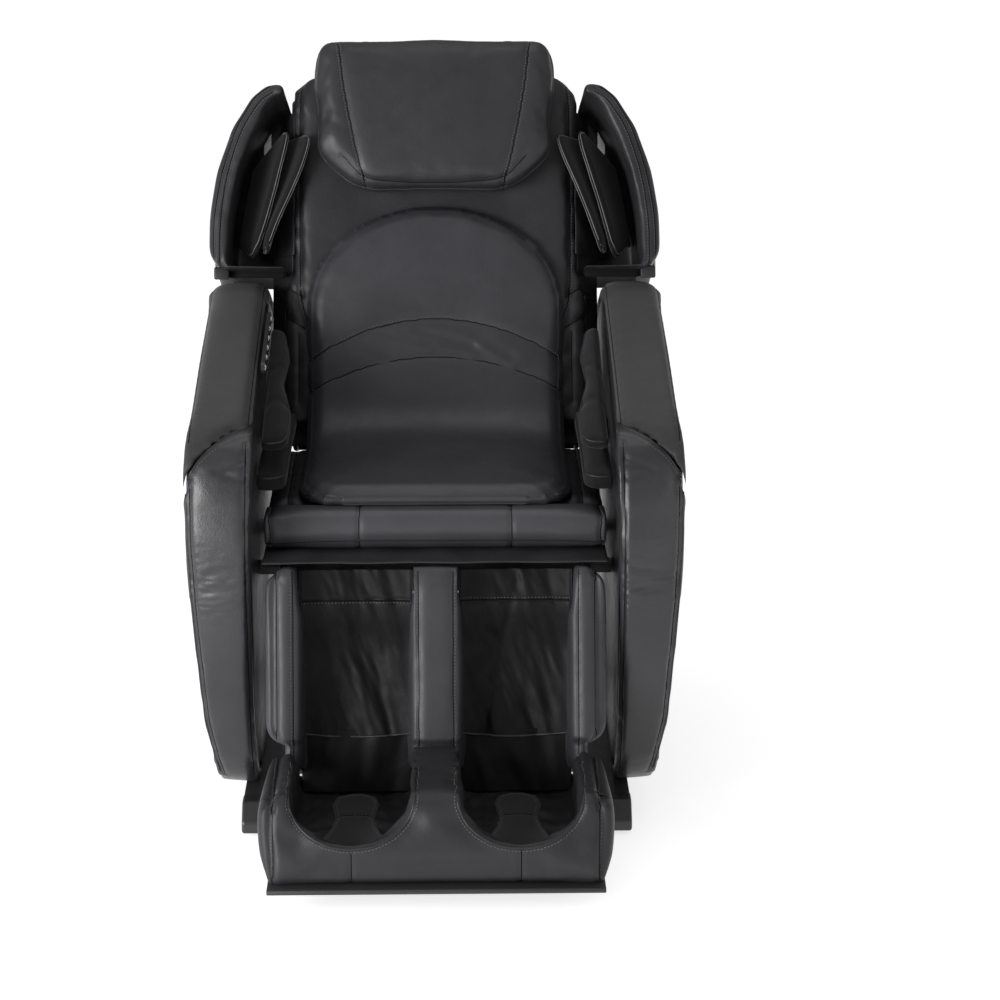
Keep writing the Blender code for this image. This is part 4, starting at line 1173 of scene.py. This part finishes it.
def make_forearms():
    for side, word in SIDES:
        hinge = JOINTS["forearm_flap_" + word + "_press"]
        y = Vector(hinge["axis"]) * -side
        x = Vector((1, 0, 0))
        place = axes(Vector(hinge["pos_m"]), x, y, x.cross(y))
        node = "forearm_flap_" + word
        pad = Soft.from_node("forearm_flap_soft_" + word, node, place, node, 0.0048)
        pad.swell(0.0012, 0.0035, 3.5, 10, soft=2)
        loop = rim(node, place, -0.0015)
        pad.seam(loop, 0.004, 0.0012, fold=False, closed=True)
        loop[:, 2] = 0.0045
        pad.piping(loop, 0.0014, 0.1, closed=True)
        for at in (-0.060, 0.040):
            dent = [(-0.003 * side, at), (-0.020 * side, at + 0.012), (-0.036 * side, at)]
            pad.groove(pad.cast(level(dent, 0)), 0.010, 0.0016)
        pad.done(SUEDE, fill=0.6)
        tilt = Matrix.Rotation(math.radians(4.0), 4, "X")
        low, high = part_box("forearm_pad_" + word)
        place = Matrix.Translation((low + high) / 2) @ tilt
        pad = Soft.from_node("forearm_pad_soft_" + word, "forearm_pad_" + word, place, "base", 0.0050)
        pad.swell(0.0012, 0.0035, 3.5, 10, soft=2)
        loop = rim("forearm_pad_" + word, place, -0.001)
        loop[:, 2] = 0.008
        pad.piping(loop, 0.0014, 0.1, closed=True)
        pad.done(FLAP_CLOTH, fill=0.6)


# ---------------------------------------------------------------- seat

def make_seat():
    pad = Soft.from_node("seat_cushion_soft", "seat_cushion", ROW_FRAME, "base", 0.0085)
    pad.swell(0.0020, 0.0040, 4.0, 10, soft=2)
    low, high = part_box("seat_cushion")

    def wrinkles(p, n):
        side = ramp(np.abs(p[:, 0]), 0.205, 0.235) * (n[:, 2] > 0.3)
        return wrinkled(p, side, (0.0022, 0.028, (1, 1, 1), 11.0))

    pad.push(wrinkles)
    for side in (-1, 1):
        over = [(0.228 * side, y, 1.0) for y in np.linspace(low.y + 0.01, high.y - 0.02, 70)]
        pad.seam(pad.cast(np.array(over), (0, 0, -1), 1.0), 0.006, 0.0024, rows=(ROW * side,))
    pad.done(BACK_LEATHER, fill=0.7)

    low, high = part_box("seat_front_roll")
    roll = Soft.from_node("seat_roll_soft", "seat_front_roll", ROW_FRAME, "base", 0.0055)
    roll.swell(0.0020, 0.0045, 4.5, 14, soft=3)

    def over(x):
        """Across the roll at one x: back of the top, the front face and under it."""
        ring = [(high.y, high.z + 0.02), (low.y + 0.015, high.z + 0.02), (low.y - 0.02, high.z - 0.01),
                (low.y - 0.02, low.z + 0.01), (low.y + 0.01, low.z - 0.02)]
        return roll.nearest(even(np.array([(x, *point) for point in ring]), 0.004))[0]

    for x in (-0.116, 0.116):
        roll.seam(over(x), 0.0045, 0.0018)
    for x in (-0.254, 0.254):
        roll.seam(over(x), 0.0050, 0.0024, rows=(ROW if x < 0 else -ROW,))
    edge = np.array([(x, low.y - 0.02, low.z + 0.004) for x in np.linspace(-0.256, 0.256, 128)])
    roll.piping(edge, 0.0018, 0.3)
    # the roll's leather is a lighter copy: painted light
    roll.done(ROLL_LIT_LEATHER, fill=0.8)


def make_skirt():
    """Thin cloth that closes the gap between the front roll and the calf rest."""
    roll_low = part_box("seat_front_roll")[0]
    calf_high = local_box("calf_rest", LEG)[1]
    edge = moved(LEG, [(0, calf_high[1], calf_high[2] - 0.004)])[0]
    start = np.array((0, roll_low.y + 0.030, roll_low.z - 0.0022))
    end = np.array((0, edge[1] + 0.004, edge[2] + 0.0038))
    half = 0.260

    def point(across, t):
        x = half * (2 * across - 1)
        y, z = (start + (end - start) * t)[1:]
        ripple = noise.noise(Vector((x * 26, t * 1.5, 4.0))) + 0.5 * math.sin(x * 60 + t * 4)
        if t > 0.75:
            y -= 0.0015 * math.sin(x * 45)
        return (x, y, z + (0.0022 * ripple + 0.0012) * math.sin(math.pi * t))

    obj = thicken(grid("seat_skirt", 118, 12, point, True), 0.0009)
    paint(obj, BACK_LEATHER)
    shade_smooth(obj)
    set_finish(obj, "seat_front_roll")
    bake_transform(obj)


def make_waist():
    """Near-black cloth that closes the seat's rear edge to the foot of the back cushion: painted shade in that
    gap.
    """
    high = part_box("seat_cushion")[1]
    start = np.array((0, high.y - 0.010, high.z + 0.0045))
    end = moved(BACK, [(0, 0.112, 0.0600)])[0]
    half = 0.262

    def point(across, t):
        x = half * (2 * across - 1)
        y, z = (start + (end - start) * t)[1:]
        fold = 0.0030 * noise.noise(Vector((x * 30, t * 2.2, 7.0)))
        bulge = math.sin(math.pi * t)
        return (x, y + (0.010 + fold) * bulge, z - (0.008 - fold) * bulge)

    obj = thicken(grid("waist_shade_sheet", 104, 14, point), 0.0012)
    # near-black: painted shade in the gap behind the seat
    paint(obj, LINING_AND_SHADE)
    shade_smooth(obj)
    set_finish(obj, "seat_cushion")
    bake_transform(obj)


# ---------------------------------------------------------------- leg rest and foot rest

def make_calf_rest():
    low, high = local_box("calf_rest", LEG)
    inner, outer, floor = 0.0365, 0.2035, -0.024
    pad = Soft.from_node("calf_rest_soft", "calf_rest", LEG, "legrest", 0.0070)
    pad.swell(0.0028, 0.0070, 5.0, 14, soft=3)

    def pads(p, n):
        """Rounded pads that end just above the foot rest."""
        out = p.copy()
        full = ramp(p[:, 1], -0.2385, -0.2300) * (p[:, 2] > 0.030)
        out[:, 2] += 0.0085 * full
        for side in (-1, 1):
            out = soften(out, 0.034, (0, high[0] * side, side), (1, high[1], 1))
            out = soften(out, 0.020, (0, high[0] * side, side), (2, high[2] + 0.008, 1))
        drop = 1 - np.clip((p[:, 1] + 0.2385) / 0.036, 0, 1)
        drawn = (1 - np.sqrt(1 - drop ** 2)) * ramp(np.abs(p[:, 0]), 0.215, 0.25)
        out[:, 0] *= 1 - 0.110 * drawn
        return out

    pad.shape(pads)

    def folds(p, n):
        """Loose cloth in the two channels."""
        x = np.abs(p[:, 0])
        inside = ramp(x, inner + 0.006, inner + 0.022) * (1 - ramp(x, outer - 0.022, outer - 0.006))
        lining = inside * (p[:, 2] < high[2] - 0.012) * (n[:, 2] > 0.2)
        slant = p.copy()
        slant[:, 0] += 0.35 * np.abs(p[:, 1])
        return wrinkled(slant, lining, (0.0020, 0.052, (1.5, 0.35, 0.6), 2.0))

    pad.push(folds)
    lines = [(-0.0265, 1), (0.0265, -1)]
    lines += [(side * (outer + 0.0095), -side) for side in (-1, 1)]
    lines += [(side * (high[0] - 0.0125), side) for side in (-1, 1)]
    for x, turn in lines:
        line = pad.lay([(x, high[1] - 0.006), (x, -0.10), (x, low[1] + 0.006)])
        pad.groove(line, 0.009, 0.0016)
        pad.seam(line, 0.004, 0.0012, rows=(ROW * turn,))
    for side in (-1, 1):
        gusset = [(0.40 * side, v, 0.018) for v in np.linspace(low[1] + 0.02, high[1] - 0.02, 60)]
        pad.seam(pad.cast(np.array(gusset), (-side, 0, 0)), 0.006, 0.0020, rows=(ROW,))

    def channel(c, n):
        x = np.abs(c[:, 0])
        lower_end = (c[:, 1] < -0.222) | (c[:, 2] < high[2] - 0.007)
        between = (x > inner - 0.002) & (x < outer + 0.002)
        return between & lower_end & (c[:, 2] > floor - 0.006) | (c[:, 1] < -0.2405)

    # the channel faces take the near-black lining: dark cloth and painted shade in the channels
    pad.split(channel)
    pad.done(LEG_LEATHER, LINING_AND_SHADE, fill=0.8)
    for side, word in SIDES:
        make_channel_cloth(side, word, inner, outer, floor)


def make_channel_cloth(side, word, inner, outer, floor):
    """Loose cloth laid in one calf channel, hemmed at its lower end and drawn up over the bar at its top."""
    wide, tall, bottom, run = 48, 84, -0.227, 0.251

    def point(t, along):
        v = bottom + run * along
        x = inner - 0.0020 + (outer - inner + 0.004) * t
        wall = 1 - math.sin(math.pi * t) ** 0.35
        p = Vector((x * 26 + v * 9 * side, v * 7, 2.0 + side))
        wrinkle = noise.noise(p) + 0.6 * noise.noise(p * 2.3) + 0.25 * noise.noise(p * 5.1)
        crease = math.exp(-((x - 0.070 - 0.22 * (v + 0.23)) / 0.006) ** 2) * (1 - t)
        n = floor + 0.012 + 0.014 * wall + 0.0075 * wrinkle * math.sin(math.pi * t) - 0.0045 * crease
        rise = max(0.0, min(1.0, (v + 0.110) / 0.095))
        n += 0.024 * rise * rise * (3 - 2 * rise)
        sag = 0.006 * math.sin(math.pi * t) * (1 - along) ** 6
        return (x * side, v - sag, n)

    def across(row):
        return even(np.array([point(i / wide, row / tall) for i in range(1, wide)]), 0.004)

    obj = subdivide(thicken(grid("calf_cloth_" + word, wide, tall, point, side < 0), 0.0016))
    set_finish(obj, "calf_rest")
    cloth = Soft("calf_cloth_" + word, obj, LEG, "legrest")
    hem = across(0)
    cloth.keep("hems", tube(hem, np.tile((0.0, 0.0, 1.0), (len(hem), 1)), 0.0016))
    cloth.seam(across(68), 0.004, 0.0016, rows=(ROW,))
    # near-black cloth: dark cloth and painted shade in the channel
    cloth.done(CHANNEL_CLOTH_AND_SHADE, fill=None, threads={"hems": LEG_LEATHER})
    make_well_curtain(side, word, (inner + outer) / 2, floor)


def make_well_curtain(side, word, middle, floor):
    """Crumpled cloth that hangs from the end of a calf channel into the foot well."""
    half, bottom, run = 0.0855, -0.318, 0.096

    def point(across, along):
        x, v = middle + half * (2 * across - 1), bottom + run * along
        p = Vector((x * 22, v * 13 + x * 8, 5.0 + side))
        return (x * side, v, floor + 0.012 + 0.0060 * noise.noise(p) + 0.0020 * noise.noise(p * 2.2))

    obj = subdivide(thicken(grid("well_curtain_" + word, 44, 30, point, side < 0), 0.0014))
    obj.data.transform(LEG)
    # near-black cloth: dark cloth and painted shade in the foot well
    paint(obj, CHANNEL_CLOTH_AND_SHADE)
    shade_smooth(obj)
    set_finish(obj, "calf_rest")
    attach(obj, "legrest")


def make_foot_rest():
    low, high = local_box("foot_rest", LEG)
    mid, half = 0.122, 0.087
    pad = Soft.from_node("foot_rest_soft", "foot_rest", LEG, "footrest", 0.0070)
    pad.swell(0.0026, 0.0060, 4.5, 14, soft=3)
    rim_z = high[2] - 0.028

    def box_top(n):
        """Height of the foot rest's sloping top at a distance out."""
        return -0.2395 - (n - 0.058) * 0.2525

    def rounder(p, n):
        """Rounded posts, and a lower end that draws in."""
        out = p.copy()
        for side in (-1, 1):
            out = soften(out, 0.026, (0, high[0] * side, side), (2, high[2], 1))
            lifted = out.copy()
            lifted[:, 1] -= box_top(out[:, 2])
            lifted = soften(lifted, 0.030, (0, high[0] * side, side), (1, 0.0, 1))
            lifted[:, 1] += box_top(out[:, 2])
            out = lifted
        out[:, 0] *= 1 + 0.020 * np.exp(-((p[:, 1] + 0.325) / 0.055) ** 2) * ramp(p[:, 2], 0.05, 0.20)
        return out

    pad.shape(rounder)

    def lining(p, n):
        """Loose, crumpled cloth inside the wells."""
        x = np.abs(np.abs(p[:, 0]) - mid)
        inside = (p[:, 2] < rim_z + 0.012) & (p[:, 2] > low[2] - 0.02) & (p[:, 1] > low[1] + 0.02)
        facing = (n[:, 2] > 0.3) | (n[:, 1] > 0.3) | (np.abs(n[:, 0]) > 0.4)
        loose = 1.0 * (inside & facing & (x < half + 0.004))
        return wrinkled(p, loose, (0.0050, 0.040, (1, 1, 1), 1.0), (0.0035, 0.018, (1, 0.7, 0.7), 6.0))

    pad.push(lining)
    for side in (-1, 1):
        centre = mid * side
        turns = np.linspace(0, math.pi, 40)
        mouth = [(centre + (half + 0.0045) * math.cos(t), -0.292 - 0.0705 * math.sin(t)) for t in turns]
        mouth = [(centre + half + 0.0045, -0.262)] + mouth + [(centre - half - 0.0045, -0.262)]
        line = pad.cast(level(even(np.array(mouth), 0.004), 0))
        pad.groove(line, 0.007, -0.0016)
        pad.seam(line, 0.004, 0.0, rows=(-0.0048,), fold=False, thread="stitches")
        pad.piping(line, 0.0023, 0.1)
        pad.seam(pad.lay([(centre, -0.366), (centre, low[1] + 0.004)]), 0.0045, 0.0016)
        outer = side * (high[0] - 0.0135)
        edge = pad.lay([(outer, high[1] - 0.010), (outer, low[1] + 0.006)])
        pad.groove(edge, 0.009, 0.0014)
        pad.seam(edge, 0.004, 0.0012, rows=(ROW * -side,))
        deep = high[2] - 0.050
        wall = [(0.4 * side, v, deep) for v in np.linspace(low[1] + 0.02, box_top(deep) - 0.012, 50)]
        pad.seam(pad.cast(np.array(wall), (-side, 0, 0)), 0.006, 0.0020, rows=(ROW,))

    def well(c, n):
        x = np.abs(np.abs(c[:, 0]) - mid)
        deep = (c[:, 2] < high[2] - 0.006) & (c[:, 2] > low[2] + 0.012)
        facing = (n[:, 1] > -0.35) & (c[:, 1] > low[1] + 0.018)
        return (x < half + 0.004) & deep & facing & ((c[:, 2] < rim_z + 0.02) | (x < half - 0.001))

    # the well faces take the near-black lining: dark cloth and painted shade in the wells
    pad.split(well)
    pad.done(FOOT_LEATHER, LINING_AND_SHADE, fill=0.7)
    make_sole(low, high)


def make_sole(low, high):
    """Hard strip under the front of the foot rest."""
    half = high[0] - 0.006
    lean = (0.4225 - 0.3460) / (high[2] - low[2])
    front, rear = high[2] + 0.0005, 0.02
    rows = [(front, 0.0), (front, -0.0070), (high[2] - 0.010, -0.0085), (rear, -0.0085), (rear, -0.0008)]
    section = [(low[1] - 0.0008 + (high[2] - z) * lean + drop, z) for z, drop in rows]
    ends = [[(x, v, z) for v, z in section] for x in (-half, half)]
    obj = round_edges(prism("sole_plate", *ends, True), 0.0016, 2)
    obj.data.transform(LEG)
    paint(obj, TRIM_PLASTIC)
    shade_smooth(obj, 40)
    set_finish(obj, "foot_rest")
    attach(obj, "footrest")


def make_insoles():
    for side, word in SIDES:
        node = "insole_" + word
        points = coords(NODES[node].data)
        low, high = local_box("foot_rest", LEG)
        tilt = math.atan2(0.3915 - 0.3215, 0.230 + 0.024)
        y = Vector((0, -math.sin(tilt), math.cos(tilt)))
        z = Vector((0, math.cos(tilt), math.sin(tilt)))
        turn = LEG.to_3x3()
        centre = Vector((points.min(0) + points.max(0)) / 2)
        place = axes(centre, Vector((1, 0, 0)), turn @ y, turn @ z)
        pad = Soft.from_node(node + "_soft", node, place, node, 0.0032)
        pad.swell(0.0006, 0.0016, 3.0, 8, soft=1)
        loop = rim(node, place, 0.004)
        pad.seam(loop, 0.0030, 0.0008, rows=(0.0,), fold=False, thread="stitches", closed=True)
        small, big = local_box(node, place)
        at = small[1] + 0.38 * (big[1] - small[1])
        across = pad.lay([(-0.034, at + 0.004), (0, at - 0.003), (0.034, at + 0.004)])
        pad.seam(across, 0.0030, 0.0012, rows=(ROW * 0.8,), thread="stitches")
        pad.done(INSOLE_CLOTH, fill=0.3)


# ---------------------------------------------------------------- hard pieces

def paint_hard_pieces():
    looks = {"base_frame": STEEL, "seat_frame": STEEL, "back_frame": STEEL, "leg_frame": STEEL,
             "power_box": BOX_PLASTIC, "power_inlet": TRIM_PLASTIC, "power_switch": SWITCH_PLASTIC,
             "control_strip": TRIM_PLASTIC, "massage_carriage": MECHANISM}
    for word in ("right", "left"):
        looks["base_cover_" + word] = TRIM_PLASTIC
        looks["rubber_foot_" + word] = RUBBER
        looks["wheel_" + word] = RUBBER
        looks["shoulder_trim_" + word] = SILVER
        looks["massage_arm_" + word] = MECHANISM
        looks["massage_roller_lower_" + word] = RUBBER
        looks["massage_roller_upper_" + word] = RUBBER
    for i in range(1, 7):
        looks["button_%d" % i] = SILVER
    for name in ("leg_actuator", "back_actuator"):
        looks[name + "_tube"] = ACTUATOR
        looks[name + "_rod"] = MECHANISM
    for name, look in looks.items():
        paint(NODES[name], look)


def make_shoulder_edges():
    """Pale strips at the rear lower corners of the shoulder pods."""
    for side, word in SIDES:
        low, high = local_box("shoulder_pod_" + word, BACK)
        outer = (high[0] if side > 0 else -low[0]) + 0.0008
        rise = np.linspace(0.004, 0.060, 15)
        line = np.array([(outer * side, low[1] + v, -0.030 + 0.02 * v) for v in rise])
        verts, faces = tube(line, np.tile((side, 0, 0), (len(line), 1)), 0.0045, False, 10)
        verts[:, 0] = line[0, 0] + (verts[:, 0] - line[0, 0]) * 0.45
        obj = add("shoulder_edge_" + word, moved(BACK, verts), faces)
        paint(obj, PALE_PLASTIC)
        shade_smooth(obj, 50)
        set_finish(obj, "shoulder_trim_" + word)
        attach(obj, "backrest")


# ---------------------------------------------------------------- stage

def make_camera():
    data = bpy.data.cameras.new("camera")
    data.lens = CAMERA_LENS
    data.sensor_width = 36
    data.clip_end = 100
    camera = bpy.data.objects.new("camera", data)
    camera.location = CAMERA_AT
    camera.rotation_euler = (math.radians(90 - CAMERA_PITCH), 0, math.radians(-CAMERA_YAW))
    bpy.context.scene.collection.objects.link(camera)
    bpy.context.scene.camera = camera


def area_light(name, at, target, size, power):
    data = bpy.data.lights.new(name, "AREA")
    data.shape = "RECTANGLE"
    data.size, data.size_y = size
    data.energy = power
    light = bpy.data.objects.new(name, data)
    light.location = at
    light.rotation_euler = (Vector(target) - Vector(at)).to_track_quat("-Z", "Y").to_euler()
    bpy.context.scene.collection.objects.link(light)


def make_stage():
    floor = add("floor", [(-40, -40, 0), (40, -40, 0), (40, 40, 0), (-40, 40, 0)], [(0, 1, 2, 3)])
    pale, _, shader = new_material("pale_floor", (0.80, 0.80, 0.80), 0.9)
    shader.inputs["Specular IOR Level"].default_value = 0.1
    shader.inputs["Emission Color"].default_value = (1, 1, 1, 1)
    shader.inputs["Emission Strength"].default_value = 0.68
    paint(floor, pale)
    world = bpy.data.worlds.new("studio")
    world.use_nodes = True
    world.node_tree.nodes["Background"].inputs["Color"].default_value = (1, 1, 1, 1)
    world.node_tree.nodes["Background"].inputs["Strength"].default_value = 0.42
    bpy.context.scene.world = world
    area_light("key", (-2.9, -2.7, 1.0), (-0.3, -0.2, 0.35), (1.6, 2.0), 150)
    area_light("fill", (2.4, -2.6, 1.4), (0.2, 0, 0.5), (1.0, 1.6), 7)
    area_light("top", (0.0, 0.2, 3.4), (0, 0, 0.6), (2.0, 2.0), 14)
    bpy.context.scene.view_settings.view_transform = "Standard"


# ---------------------------------------------------------------- build

make_camera()
make_stage()
paint_hard_pieces()
make_oval_pad()
make_pillow()
make_back_cushion()
make_back_shell()
make_wings()
make_back_gussets()
make_pods()
make_flaps()
make_arms()
make_forearms()
make_seat()
make_skirt()
make_waist()
make_calf_rest()
make_foot_rest()
make_insoles()
make_shoulder_edges()
